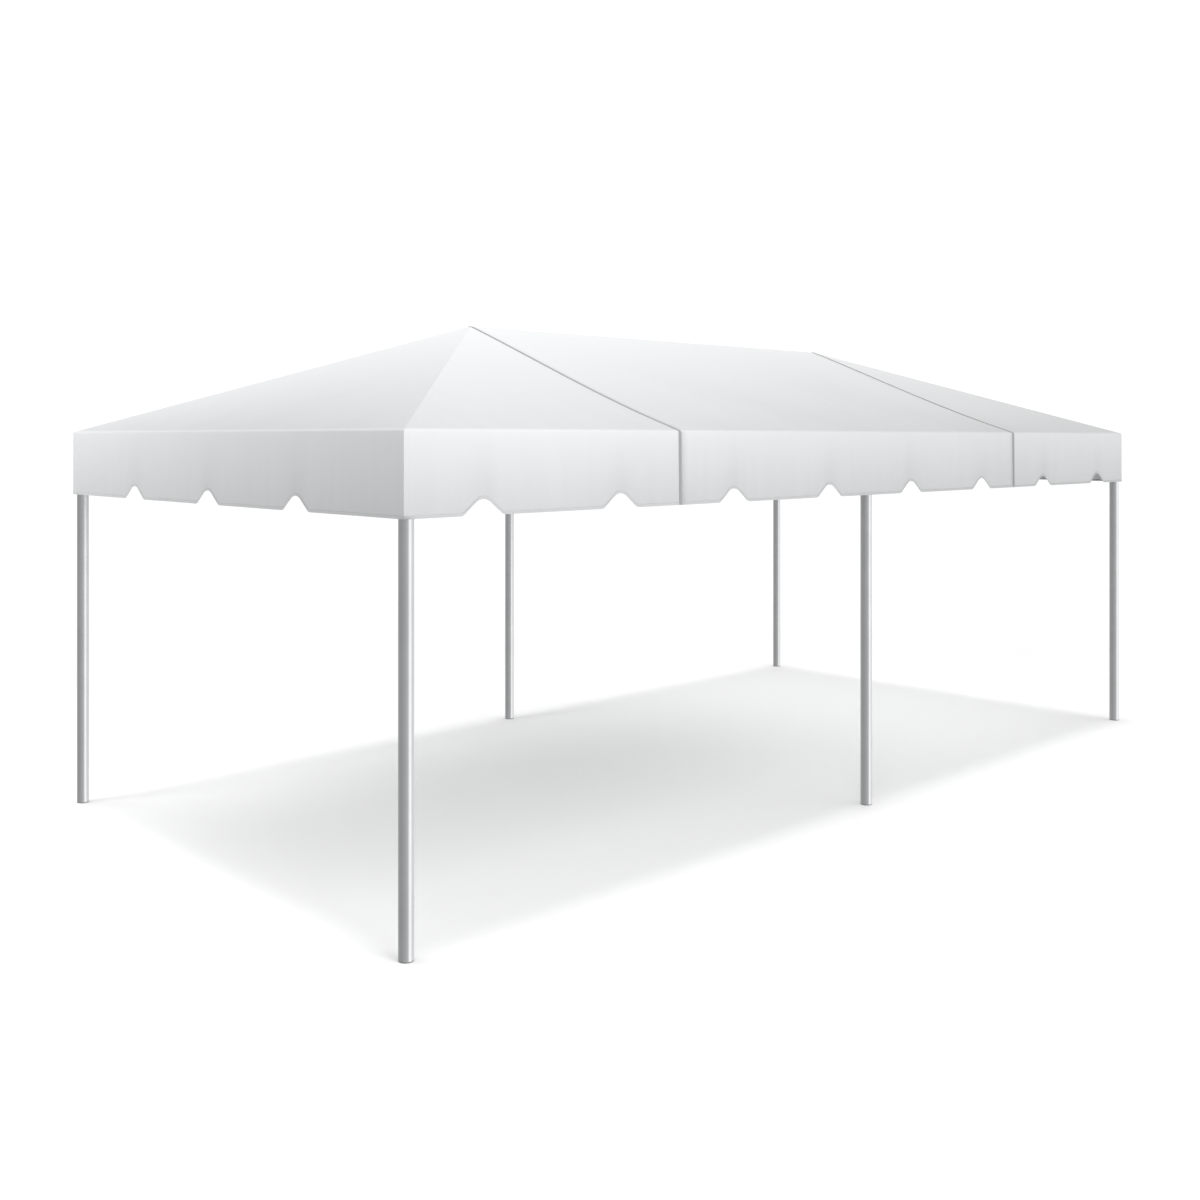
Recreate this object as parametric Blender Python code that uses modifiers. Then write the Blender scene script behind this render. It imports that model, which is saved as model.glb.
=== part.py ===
"""Hip-roofed frame tent, 10 ft by 20 ft, on six legs: metres, +Z up.

The origin is on the ground under the middle of the tent. +X runs along its length, and the front is the long
side at -Y. Tubes slip into welded fittings at the corners, at the middle legs and at the ends of the ridge.
The canopy lies over them in three sections: two hipped ends and a middle, with a valance all round.
"""

import math

import bmesh
import bpy
from mathutils import Matrix, Vector

# Canopy, over its outer faces
LENGTH = 6.096
WIDTH = 3.048
EAVE_HEIGHT = 2.000
RIDGE_HEIGHT = 2.570
VALANCE_DROP = 0.335
CLOTH = 0.003

# Frame
TUBE_RADIUS = 0.03015
TUBE_WALL = 0.003
SLEEVE_WALL = 0.004
HUB_RADIUS = 0.0340
SLEEVE_START = 0.002
BORE_START = 0.095
SLEEVE_END = 0.185
BORE_OVERRUN = 0.015
TUBE_SIDES = 16

# Notches along the valance's hem
NOTCHES_LONG_SIDE = 8
NOTCHES_END = 3
NOTCH_WIDTH = 0.205
NOTCH_DEPTH = 0.064
NOTCH_CREST_RADIUS = 0.062
NOTCH_CREST_POINTS = 11
NOTCH_CUTTER_REACH = 0.010

# Clearance between neighbouring solids
GAP = 0.0003

HALF_LENGTH = LENGTH / 2
HALF_WIDTH = WIDTH / 2
HEM_HEIGHT = EAVE_HEIGHT - VALANCE_DROP
SEAM = HALF_LENGTH - HALF_WIDTH
SLOPE = math.atan2(RIDGE_HEIGHT - EAVE_HEIGHT, HALF_WIDTH)

# The frame's centre lines lie one sleeve radius under the cloth and inside it.
SLEEVE_RADIUS = TUBE_RADIUS + GAP + SLEEVE_WALL
COVER = SLEEVE_RADIUS + GAP + CLOTH
FRAME_X = HALF_LENGTH - COVER
FRAME_Y = HALF_WIDTH - COVER
FRAME_Z = EAVE_HEIGHT + COVER * math.tan(SLOPE) - COVER / math.cos(SLOPE)
CROWN_Z = FRAME_Z + FRAME_Y * math.tan(SLOPE)


def clear_scene():
    for obj in list(bpy.data.objects):
        bpy.data.objects.remove(obj)


def new_collection(name):
    collection = bpy.data.collections.new(name)
    bpy.context.scene.collection.children.link(collection)
    return collection


def new_material(name, colour, roughness, metallic):
    material = bpy.data.materials.new(name)
    material.use_nodes = True
    shader = material.node_tree.nodes["Principled BSDF"]
    shader.inputs["Base Color"].default_value = (*colour, 1)
    shader.inputs["Roughness"].default_value = roughness
    shader.inputs["Metallic"].default_value = metallic
    material.diffuse_color = (*colour, 1)
    return material


def place(collection, name, mesh, matrix, material=None):
    obj = bpy.data.objects.new(name, mesh)
    obj.matrix_world = matrix
    collection.objects.link(obj)
    if material and not mesh.materials:
        mesh.materials.append(material)
    return obj


def place_helper(collection, name, mesh, matrix):
    """A cutter, or a shape that is joined to another: it shows as wire and is left out of the tent."""
    obj = place(collection, name, mesh, matrix)
    obj.hide_render = True
    obj.display_type = "WIRE"
    return obj


def mesh_from(bm, name, smooth=False):
    mesh = bpy.data.meshes.new(name)
    bm.to_mesh(mesh)
    bm.free()
    if smooth:
        mesh.shade_smooth()
        mesh.set_sharp_from_angle(angle=math.radians(40))
    return mesh


def add_boolean(obj, name, operation, collection):
    modifier = obj.modifiers.new(name, "BOOLEAN")
    modifier.operation = operation
    modifier.operand_type = "COLLECTION"
    modifier.collection = collection
    modifier.solver = "EXACT"


# Frame: joints are points where centre lines meet, and members are the tubes between them


def frame_joints():
    joints = {}
    for end, x in (("left", -1), ("right", 1)):
        joints[f"crown_{end}"] = Vector((x * SEAM, 0, CROWN_Z))
        for side, y in (("front", -1), ("back", 1)):
            joints[f"corner_{side}_{end}"] = Vector((x * FRAME_X, y * FRAME_Y, FRAME_Z))
    for side, y in (("front", -1), ("back", 1)):
        joints[f"side_{side}"] = Vector((0, y * FRAME_Y, FRAME_Z))
    for name, point in list(joints.items()):
        if not name.startswith("crown"):
            joints[name.replace("corner", "foot").replace("side", "foot_middle")] = point * Vector((1, 1, 0))
    return joints


def frame_members():
    """The tubes, as name, joint that it starts from and joint that it runs to."""
    members = [("ridge_tube", "crown_left", "crown_right")]
    for end in ("left", "right"):
        members.append((f"eave_tube_{end}_end", f"corner_front_{end}", f"corner_back_{end}"))
    for side in ("front", "back"):
        members.append((f"leg_{side}_middle", f"foot_middle_{side}", f"side_{side}"))
        for end in ("left", "right"):
            corner = f"corner_{side}_{end}"
            members.append((f"leg_{side}_{end}", f"foot_{side}_{end}", corner))
            members.append((f"eave_tube_{side}_{end}", corner, f"side_{side}"))
            members.append((f"hip_rafter_{side}_{end}", corner, f"crown_{end}"))
            members.append((f"roof_rafter_{side}_{end}", f"side_{side}", f"crown_{end}"))
    return members


def centre_line(start, end):
    """A frame whose Z runs from start to end, with its origin at start."""
    return Matrix.Translation(start) @ (end - start).to_track_quat("Z", "Y").to_matrix().to_4x4()


def rod_mesh(name, radius, length):
    """A solid round bar along +Z from the origin."""
    bm = bmesh.new()
    middle = Matrix.Translation((0, 0, length / 2))
    bmesh.ops.create_cone(
        bm, cap_ends=True, segments=TUBE_SIDES, radius1=radius, radius2=radius, depth=length, matrix=middle
    )
    return mesh_from(bm, name)


def add_tube(collection, name, start, end, material, foot):
    """A tube as an open shell with thickness. A foot keeps its lower end closed, as the leg's flat plug."""
    first = 0 if foot else BORE_START + GAP
    length = (end - start).length - first - BORE_START - GAP
    bm = bmesh.new()
    bmesh.ops.create_cone(
        bm,
        cap_ends=foot,
        segments=TUBE_SIDES,
        radius1=TUBE_RADIUS,
        radius2=TUBE_RADIUS,
        depth=length,
        matrix=Matrix.Translation((0, 0, first + length / 2)),
    )
    if foot:
        top = [face for face in bm.faces if face.normal.z > 0.9]
        bmesh.ops.delete(bm, geom=top, context="FACES_ONLY")
    tube = place(collection, name, mesh_from(bm, name, smooth=True), centre_line(start, end), material)
    wall = tube.modifiers.new("wall", "SOLIDIFY")
    wall.thickness = TUBE_WALL
    wall.offset = -1
    return tube


def hub_mesh():
    bm = bmesh.new()
    bmesh.ops.create_icosphere(bm, subdivisions=2, radius=HUB_RADIUS)
    return mesh_from(bm, "hub", smooth=True)


def add_fitting(collection, helpers, name, joint, lines, material):
    """A hub with one sleeve for each tube that meets there. lines are the centre lines, with the joint's end of each."""
    sleeves = bpy.data.collections.new(f"{name}_sleeves")
    bores = bpy.data.collections.new(f"{name}_bores")
    helpers.children.link(sleeves)
    helpers.children.link(bores)
    sleeve = rod_mesh(f"{name}_sleeve", SLEEVE_RADIUS, SLEEVE_END - SLEEVE_START)
    bore = rod_mesh(f"{name}_bore", TUBE_RADIUS + GAP, SLEEVE_END + BORE_OVERRUN - BORE_START)
    for number, (line, length, at_start) in enumerate(lines):
        sleeve_from = SLEEVE_START if at_start else length - SLEEVE_END
        bore_from = BORE_START if at_start else length - SLEEVE_END - BORE_OVERRUN
        place_helper(sleeves, f"{name}_sleeve_{number}", sleeve, line @ Matrix.Translation((0, 0, sleeve_from)))
        place_helper(bores, f"{name}_bore_{number}", bore, line @ Matrix.Translation((0, 0, bore_from)))
    fitting = place(collection, name, hub_mesh(), Matrix.Translation(joint), material)
    add_boolean(fitting, "sleeves", "UNION", sleeves)
    add_boolean(fitting, "bores", "DIFFERENCE", bores)
    return fitting


def build_frame(collection, helpers, tube_material, fitting_material):
    joints = frame_joints()
    lines = {name: [] for name in joints}
    for name, start, end in frame_members():
        add_tube(collection, name, joints[start], joints[end], tube_material, name.startswith("leg"))
        line = centre_line(joints[start], joints[end])
        length = (joints[end] - joints[start]).length
        lines[start].append((line, length, True))
        lines[end].append((line, length, False))
    for name, joint in joints.items():
        if name.startswith("foot"):
            continue
        kind, place_name = name.split("_", 1)
        add_fitting(collection, helpers, f"{kind}_fitting_{place_name}", joint, lines[name], fitting_material)


# Canopy: each side is drawn as if it were the front, with x along its eave and y inward, and is then turned


def trim(bm, point, normal):
    """Cuts off what lies beyond a plane, on the side that its normal points to, and closes the cut."""
    geometry = bm.verts[:] + bm.edges[:] + bm.faces[:]
    cut = bmesh.ops.bisect_plane(bm, geom=geometry, plane_co=point, plane_no=normal, clear_outer=True)
    rim = [item for item in cut["geom_cut"] if isinstance(item, bmesh.types.BMEdge)]
    bmesh.ops.holes_fill(bm, edges=rim)


def side_cuts(section, depth, half_span):
    """The upright planes at the ends of a section, half a gap back from the hip or seam that it shares."""
    hip_back = GAP / 2 * math.sqrt(2)
    hip_first = (Vector((-half_span + hip_back, -depth, 0)), Vector((-1, 1, 0)))
    hip_last = (Vector((half_span - hip_back, -depth, 0)), Vector((1, 1, 0)))
    before = Vector((-1, 0, 0))
    beyond = Vector((1, 0, 0))
    return {
        "whole": [hip_first, hip_last],
        "first": [hip_first, (Vector((-SEAM - GAP / 2, 0, 0)), beyond)],
        "middle": [(Vector((-SEAM + GAP / 2, 0, 0)), before), (Vector((SEAM - GAP / 2, 0, 0)), beyond)],
        "last": [(Vector((SEAM + GAP / 2, 0, 0)), before), hip_last],
    }[section]


def section_range(section, half_span):
    return {
        "whole": (-half_span, half_span),
        "first": (-half_span, -SEAM),
        "middle": (-SEAM, SEAM),
        "last": (SEAM, half_span),
    }[section]


def add_roof_panel(collection, name, section, turn, depth, half_span, material):
    """A slab in the slope, its upper face on the roof plane, trimmed by upright planes at eave, hip, seam and ridge."""
    run = HALF_WIDTH / math.cos(SLOPE)
    spare = 0.05
    bm = bmesh.new()
    size = Matrix.Diagonal((2 * half_span, run + 2 * spare, CLOTH, 1))
    in_slope = Matrix.Translation((0, run / 2, -CLOTH / 2))
    slope = Matrix.Translation((0, -depth, EAVE_HEIGHT)) @ Matrix.Rotation(SLOPE, 4, "X")
    bmesh.ops.create_cube(bm, size=1, matrix=slope @ in_slope @ size)
    trim(bm, Vector((0, -depth, 0)), Vector((0, -1, 0)))
    for point, normal in side_cuts(section, depth, half_span):
        trim(bm, point, normal)
    if section == "middle":
        trim(bm, Vector((0, -GAP / 2, 0)), Vector((0, 1, 0)))
    return place(collection, name, mesh_from(bm, name), Matrix.Rotation(turn, 4, "Z"), material)


def notch_outline(centre):
    """A bell: straight flanks that meet a round crest, run out below the hem so that the cut is clean."""
    half = NOTCH_WIDTH / 2
    rise = NOTCH_DEPTH - NOTCH_CREST_RADIUS
    flank = math.atan2(rise, half) + math.asin(NOTCH_CREST_RADIUS / math.hypot(half, rise))
    foot = half + NOTCH_CUTTER_REACH / math.tan(flank)
    points = [(centre + foot, -NOTCH_CUTTER_REACH)]
    for step in range(NOTCH_CREST_POINTS):
        angle = math.pi / 2 - flank + 2 * flank * step / (NOTCH_CREST_POINTS - 1)
        across = NOTCH_CREST_RADIUS * math.cos(angle)
        up = rise + NOTCH_CREST_RADIUS * math.sin(angle)
        points.append((centre + across, up))
    points.append((centre - foot, -NOTCH_CUTTER_REACH))
    return points


def notch_cutter(helpers, name, centres, turn, depth):
    """The notches of one valance piece as upright prisms through the cloth, made from one flat curve."""
    curve = bpy.data.curves.new(name, "CURVE")
    curve.dimensions = "2D"
    curve.fill_mode = "BOTH"
    curve.extrude = NOTCH_CUTTER_REACH
    for centre in centres:
        outline = notch_outline(centre)
        spline = curve.splines.new("POLY")
        spline.points.add(len(outline) - 1)
        spline.use_cyclic_u = True
        for point, (x, z) in zip(spline.points, outline):
            point.co = (x, z, 0, 1)
    flat = bpy.data.objects.new(name, curve)
    helpers.objects.link(flat)
    flat.matrix_world = (
        Matrix.Rotation(turn, 4, "Z")
        @ Matrix.Translation((0, -depth + CLOTH / 2, HEM_HEIGHT))
        @ Matrix.Rotation(math.pi / 2, 4, "X")
    )
    bpy.context.view_layer.update()
    mesh = bpy.data.meshes.new_from_object(flat.evaluated_get(bpy.context.evaluated_depsgraph_get()))
    bm = bmesh.new()
    bm.from_mesh(mesh)
    bmesh.ops.remove_doubles(bm, verts=bm.verts[:], dist=0.00001)
    bmesh.ops.recalc_face_normals(bm, faces=bm.faces[:])
    matrix = flat.matrix_world.copy()
    bpy.data.objects.remove(flat)
    return place_helper(helpers, name, mesh_from(bm, name), matrix)


def add_valance(collection, helpers, name, section, turn, depth, half_span, notches, material):
    """A hanging strip from the hem to just under the roof, mitred at the corners, with notches along its hem."""
    low = HEM_HEIGHT
    high = EAVE_HEIGHT + 2 * CLOTH
    bm = bmesh.new()
    size = Matrix.Diagonal((2 * half_span, CLOTH, high - low, 1))
    centre = Matrix.Translation((0, -depth + CLOTH / 2, (low + high) / 2))
    bmesh.ops.create_cube(bm, size=1, matrix=centre @ size)
    for point, normal in side_cuts(section, depth, half_span):
        trim(bm, point, normal)
    under_roof = Vector((0, -depth, EAVE_HEIGHT - (CLOTH + GAP) / math.cos(SLOPE)))
    trim(bm, under_roof, Vector((0, -math.sin(SLOPE), math.cos(SLOPE))))
    valance = place(collection, name, mesh_from(bm, name), Matrix.Rotation(turn, 4, "Z"), material)
    first, last = section_range(section, half_span)
    inside = [centre for centre in notches if first < centre < last]
    cutter = notch_cutter(helpers, f"{name}_notches", inside, turn, depth)
    cut = valance.modifiers.new("notches", "BOOLEAN")
    cut.operation = "DIFFERENCE"
    cut.object = cutter
    cut.solver = "EXACT"
    return valance


def build_canopy(collection, helpers, material):
    pitch = LENGTH / NOTCHES_LONG_SIDE
    long_notches = [(number + 0.5) * pitch - HALF_LENGTH for number in range(NOTCHES_LONG_SIDE)]
    end_pitch = WIDTH / (NOTCHES_END + 1)
    end_notches = [(number + 1) * end_pitch - HALF_WIDTH for number in range(NOTCHES_END)]
    pieces = []
    for side, turn, sections in (
        ("front", 0, {"left": "first", "middle": "middle", "right": "last"}),
        ("back", math.pi, {"right": "first", "middle": "middle", "left": "last"}),
    ):
        for where, section in sections.items():
            pieces.append((f"{side}_{where}", section, turn, HALF_WIDTH, HALF_LENGTH, long_notches))
    for side, turn in (("left_end", -math.pi / 2), ("right_end", math.pi / 2)):
        pieces.append((side, "whole", turn, HALF_LENGTH, HALF_WIDTH, end_notches))
    for name, section, turn, depth, half_span, notches in pieces:
        add_roof_panel(collection, f"roof_{name}", section, turn, depth, half_span, material)
        add_valance(collection, helpers, f"valance_{name}", section, turn, depth, half_span, notches, material)


def build_tent():
    clear_scene()
    tent = new_collection("frame_tent")
    helpers = new_collection("helpers")
    tube_aluminium = new_material("tube_aluminium", (0.62, 0.63, 0.64), 0.28, 1)
    cast_aluminium = new_material("cast_aluminium", (0.50, 0.51, 0.52), 0.45, 1)
    white_vinyl = new_material("white_vinyl", (0.86, 0.865, 0.87), 0.42, 0)
    build_frame(tent, helpers, tube_aluminium, cast_aluminium)
    build_canopy(tent, helpers, white_vinyl)


build_tent()
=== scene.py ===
# %% [markdown]
# A frame tent of 10 ft by 20 ft: white coated cloth stretched over a frame of round aluminium tubes. The
# solids of the tent are loaded first and stay where they are. Each later step makes the finer piece that
# stands for some of them, gives it a finish, and hangs it on the same body.

# %% Load the frame
import math

import bmesh
import bpy
from mathutils import Matrix, Vector


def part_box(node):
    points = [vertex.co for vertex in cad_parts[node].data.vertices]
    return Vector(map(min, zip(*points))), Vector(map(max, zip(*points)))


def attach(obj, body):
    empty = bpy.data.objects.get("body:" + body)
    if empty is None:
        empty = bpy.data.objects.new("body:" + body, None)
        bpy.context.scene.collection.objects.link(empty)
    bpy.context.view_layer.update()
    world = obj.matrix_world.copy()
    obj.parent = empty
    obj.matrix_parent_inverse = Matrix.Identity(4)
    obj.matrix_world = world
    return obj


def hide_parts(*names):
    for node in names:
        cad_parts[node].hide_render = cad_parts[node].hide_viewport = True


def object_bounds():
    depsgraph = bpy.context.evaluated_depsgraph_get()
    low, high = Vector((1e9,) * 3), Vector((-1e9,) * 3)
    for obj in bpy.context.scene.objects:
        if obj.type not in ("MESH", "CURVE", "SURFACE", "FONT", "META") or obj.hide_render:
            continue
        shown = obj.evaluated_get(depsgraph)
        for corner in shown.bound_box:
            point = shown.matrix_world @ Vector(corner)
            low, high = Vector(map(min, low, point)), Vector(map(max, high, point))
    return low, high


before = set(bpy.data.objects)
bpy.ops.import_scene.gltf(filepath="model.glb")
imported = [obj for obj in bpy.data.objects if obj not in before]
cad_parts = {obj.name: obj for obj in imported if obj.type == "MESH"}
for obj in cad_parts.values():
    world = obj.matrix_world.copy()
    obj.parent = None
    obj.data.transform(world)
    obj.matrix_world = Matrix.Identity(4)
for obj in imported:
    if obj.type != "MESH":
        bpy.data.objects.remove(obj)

CAD_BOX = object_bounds()
print("tent box:", [round(value, 3) for corner in CAD_BOX for value in corner])

# %% [markdown]
# The camera comes first, because every later choice is judged through it. It stands at eye height and looks
# level, which keeps the legs upright in the picture. A level camera would put the horizon in the middle, so
# the picture is shifted instead of the camera being tilted.

# %% Camera
PICTURE = 1200
FOCAL_PIXELS = 1298.6
HORIZON_ROW = 438.1
CAMERA_PLACE = Vector((-5.890, -5.510, 1.968))
CAMERA_TURN = math.radians(-44.08)

camera_data = bpy.data.cameras.new("camera")
camera_data.sensor_width = 36
camera_data.lens = FOCAL_PIXELS / PICTURE * camera_data.sensor_width
camera_data.shift_y = (HORIZON_ROW - PICTURE / 2) / PICTURE
camera = bpy.data.objects.new("camera", camera_data)
camera.location = CAMERA_PLACE
camera.rotation_euler = (math.pi / 2, 0, CAMERA_TURN)
bpy.context.scene.collection.objects.link(camera)
bpy.context.scene.camera = camera
print("lens", round(camera_data.lens, 2), "mm, shift", round(camera_data.shift_y, 4))

# %% [markdown]
# The tent's own sizes. What the frame can tell is read from it, such as where the legs and the ridge tube
# are. The rest are the few real sizes that the tent is made to: the height of the eave line and the top of
# the ridge, and the tube and its sleeves. A hair is the least distance that counts: it keeps two faces from
# lying in one plane, and points that are closer than that are one point.

# %% Sizes of the tent
HALF_LENGTH = CAD_BOX[1].x
HALF_WIDTH = CAD_BOX[1].y
EAVE = 2.000
RIDGE = 2.570
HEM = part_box("valance_front_middle")[0].z
SEAM = HALF_LENGTH - HALF_WIDTH
SLOPE = math.atan2(RIDGE - EAVE, HALF_WIDTH)

TUBE_RADIUS = 0.03015
TUBE_WALL = 0.003
SLEEVE_RADIUS = 0.03445
BORE_RADIUS = 0.03045
BORE_START = 0.095
SLEEVE_END = 0.185
SEAT_GAP = 0.0003
HAIR = 0.0001


def middle_of(node):
    low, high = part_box(node)
    return (low + high) / 2


FRAME_X = middle_of("leg_front_right").x
FRAME_Y = middle_of("leg_back_right").y
FRAME_Z = middle_of("eave_tube_front_left").z
CROWN_Z = middle_of("ridge_tube").z
print("slope", round(math.degrees(SLOPE), 2), "degrees, hem", round(HEM, 3), "m, seams at", round(SEAM, 3))

# %% [markdown]
# Three small helpers serve every finish. Colours are picked as sRGB hex values, as in any paint program,
# and the renderer wants them linear. A node is added with its settings and its inputs in one call, where an
# input is either a value or another node's output. A new finish starts with one Principled shader.

# %% Helpers for finishes


def colour(hex_value):
    """A linear colour from an sRGB hex value."""
    parts = [int(hex_value[start : start + 2], 16) / 255 for start in (1, 3, 5)]
    linear = [part / 12.92 if part <= 0.04045 else ((part + 0.055) / 1.055) ** 2.4 for part in parts]
    return (*linear, 1)


def add_node(tree, kind, settings=None, inputs=None):
    """A node of a tree, with its settings, and its inputs as values or links."""
    node = tree.nodes.new(kind)
    for name, value in (settings or {}).items():
        setattr(node, name, value)
    for name, value in (inputs or {}).items():
        if isinstance(value, bpy.types.NodeSocket):
            tree.links.new(value, node.inputs[name])
        else:
            node.inputs[name].default_value = value
    return node


def new_finish(name):
    """A material with one Principled shader, and its node tree."""
    material = bpy.data.materials.new(name)
    material.use_nodes = True
    return material, material.node_tree, material.node_tree.nodes["Principled BSDF"]


print("sRGB #808080 is", round(colour("#808080")[0], 3), "linear")

# %% [markdown]
# The canopy is polyester scrim coated with white PVC, which leaves a smooth satin skin with the threads just
# showing through. The cloth's colour is painted a little greyer towards the eave, and again towards the hem,
# so that each face is lighter at its top and darker at its foot: this is partly dust that rain carries down
# each slope, and partly painted shade. Folding for transport leaves faint straight creases. The patterns run
# on the
# cloth's own UV map, in metres along the eave and up from the hem, so they bend over the eave with the
# cloth. The scrim's real thread spacing is about 1 mm, too fine for the picture, so it is drawn at 6 mm and
# kept weak.

# %% White coated cloth
THREAD_SPACING = 0.006
CREASE_WIDTH = 0.62
CREASE_HEIGHT = 0.48
WAVE_PERIOD = math.pi / 10
VALANCE_CLOTH = EAVE - HEM
SLOPE_CLOTH = HALF_WIDTH / math.cos(SLOPE)
LAP_WIDTH = 0.025
LAP_STEP = 0.002

coated_cloth, tree, shader = new_finish("pvc_coated_polyester")
cloth_uv = add_node(tree, "ShaderNodeUVMap", {"uv_map": "cloth"})
cloth_place = add_node(tree, "ShaderNodeSeparateXYZ", {}, {"Vector": cloth_uv.outputs["UV"]})
in_metres = add_node(tree, "ShaderNodeTexCoord")

# How grey the cloth is painted: lightest at the ridge, greyest just above the eave, and grey again towards
# the hem. This stands partly for dust that rain carries down, and partly for painted shade.
up_cloth = add_node(
    tree,
    "ShaderNodeMapRange",
    {},
    {"Value": cloth_place.outputs["Y"], "From Min": 0, "From Max": VALANCE_CLOTH + SLOPE_CLOTH},
)
dust_and_shade_ramp = add_node(tree, "ShaderNodeValToRGB", {}, {"Fac": up_cloth.outputs["Result"]})
eave_stop = VALANCE_CLOTH / (VALANCE_CLOTH + SLOPE_CLOTH)
dust_and_shade_ramp.color_ramp.elements[0].position = 0.0
dust_and_shade_ramp.color_ramp.elements[0].color = colour("#FFFFFF")
dust_and_shade_ramp.color_ramp.elements[1].position = 1.0
dust_and_shade_ramp.color_ramp.elements[1].color = colour("#000000")
for place, grey in ((eave_stop * 0.98, "#B5B5B5"), (eave_stop * 1.06, "#FFFFFF")):
    stop = dust_and_shade_ramp.color_ramp.elements.new(place)
    stop.color = colour(grey)

# Uneven dust over the painted grey: broad patches, and narrow runs down the cloth
patches = add_node(
    tree, "ShaderNodeTexNoise", {}, {"Vector": in_metres.outputs["Object"], "Scale": 1.1, "Detail": 3}
)
run_map = add_node(
    tree, "ShaderNodeMapping", {}, {"Vector": cloth_uv.outputs["UV"], "Scale": (14, 0.8, 1)}
)
runs = add_node(
    tree, "ShaderNodeTexNoise", {}, {"Vector": run_map.outputs["Vector"], "Scale": 1, "Detail": 4}
)
uneven = add_node(
    tree, "ShaderNodeMath", {"operation": "ADD"}, {0: patches.outputs["Fac"], 1: runs.outputs["Fac"]}
)
uneven_share = add_node(
    tree,
    "ShaderNodeMapRange",
    {},
    {"Value": uneven.outputs["Value"], "From Min": 0.7, "From Max": 1.3, "To Min": 0.90, "To Max": 1.0},
)
# Dust and painted shade together: how far the cloth's colour goes towards the darker grey
dust_and_shade_amount = add_node(
    tree,
    "ShaderNodeMath",
    {"operation": "MULTIPLY"},
    {0: dust_and_shade_ramp.outputs["Color"], 1: uneven_share.outputs["Result"]},
)
cloth_colour = add_node(
    tree,
    "ShaderNodeMix",
    {"data_type": "RGBA"},
    {0: dust_and_shade_amount.outputs["Value"], 6: colour("#E6E7E8"), 7: colour("#BEBFC0")},
)

# Threads, creases and small wrinkles
threads = []
for direction in ("X", "Y"):
    threads.append(
        add_node(
            tree,
            "ShaderNodeTexWave",
            {"bands_direction": direction},
            {"Vector": cloth_uv.outputs["UV"], "Scale": WAVE_PERIOD / THREAD_SPACING},
        )
    )
weave = add_node(
    tree,
    "ShaderNodeMath",
    {"operation": "MULTIPLY"},
    {0: threads[0].outputs["Fac"], 1: threads[1].outputs["Fac"]},
)
creases = add_node(
    tree,
    "ShaderNodeTexBrick",
    {"offset": 0},
    {
        "Vector": cloth_uv.outputs["UV"],
        "Color1": colour("#FFFFFF"),
        "Color2": colour("#FFFFFF"),
        "Mortar": colour("#000000"),
        "Scale": 1,
        "Mortar Size": 0.006,
        "Mortar Smooth": 1,
        "Brick Width": CREASE_WIDTH,
        "Row Height": CREASE_HEIGHT,
    },
)
wrinkles = add_node(
    tree, "ShaderNodeTexNoise", {}, {"Vector": in_metres.outputs["Object"], "Scale": 5, "Detail": 5}
)

# The welded laps along the hips: the cloth is double there, which shows as a faint step in its relief
hip_distance = add_node(tree, "ShaderNodeAttribute", {"attribute_name": "hip_distance"})
lap = add_node(
    tree,
    "ShaderNodeMapRange",
    {"interpolation_type": "SMOOTHSTEP"},
    {
        "Value": hip_distance.outputs["Fac"],
        "From Min": LAP_WIDTH - LAP_STEP,
        "From Max": LAP_WIDTH + LAP_STEP,
        "To Min": 1,
        "To Max": 0,
    },
)

# Each relief is laid over the one before, as its height, strength and depth
relief = add_node(
    tree, "ShaderNodeBump", {}, {"Height": weave.outputs["Value"], "Strength": 0.16, "Distance": 0.0006}
)
for height, strength, depth in (
    (creases.outputs["Color"], 0.12, 0.0012),
    (wrinkles.outputs["Fac"], 0.10, 0.008),
    (lap.outputs["Result"], 0.5, 0.0008),
):
    relief = add_node(
        tree,
        "ShaderNodeBump",
        {},
        {"Height": height, "Strength": strength, "Distance": depth, "Normal": relief.outputs["Normal"]},
    )
sheen_spread = add_node(
    tree,
    "ShaderNodeMapRange",
    {},
    {"Value": patches.outputs["Fac"], "From Min": 0.3, "From Max": 0.7, "To Min": 0.40, "To Max": 0.50},
)
tree.links.new(cloth_colour.outputs[2], shader.inputs["Base Color"])
tree.links.new(sheen_spread.outputs["Result"], shader.inputs["Roughness"])
tree.links.new(relief.outputs["Normal"], shader.inputs["Normal"])
shader.inputs["IOR"].default_value = 1.53
print("cloth: threads every", THREAD_SPACING * 1000, "mm, laps", LAP_WIDTH * 1000, "mm wide")

# %% [markdown]
# The legs and rafters are drawn aluminium tube. Drawing leaves fine straight lines along the tube, so the
# noise is stretched along its length, on a UV map in metres: round the tube, and along it. The oxide dulls
# the metal to a satin grey. The real lines are tenths of a millimetre apart and are drawn at 2 mm.

# %% Drawn aluminium
DRAW_LINE_SPACING = 0.002
DRAW_LINE_LENGTH = 0.6

drawn_aluminium, tree, shader = new_finish("drawn_aluminium")
tube_uv = add_node(tree, "ShaderNodeUVMap", {"uv_map": "tube"})
line_map = add_node(
    tree,
    "ShaderNodeMapping",
    {},
    {"Vector": tube_uv.outputs["UV"], "Scale": (1 / DRAW_LINE_SPACING, 1 / DRAW_LINE_LENGTH, 1)},
)
lines = add_node(
    tree, "ShaderNodeTexNoise", {}, {"Vector": line_map.outputs["Vector"], "Scale": 1, "Detail": 3}
)
in_metres = add_node(tree, "ShaderNodeTexCoord")
handling = add_node(
    tree, "ShaderNodeTexNoise", {}, {"Vector": in_metres.outputs["Object"], "Scale": 9, "Detail": 4}
)
metal_colour = add_node(
    tree,
    "ShaderNodeMix",
    {"data_type": "RGBA"},
    {0: handling.outputs["Fac"], 6: colour("#BEBFC0"), 7: colour("#CACBCC")},
)
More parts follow.
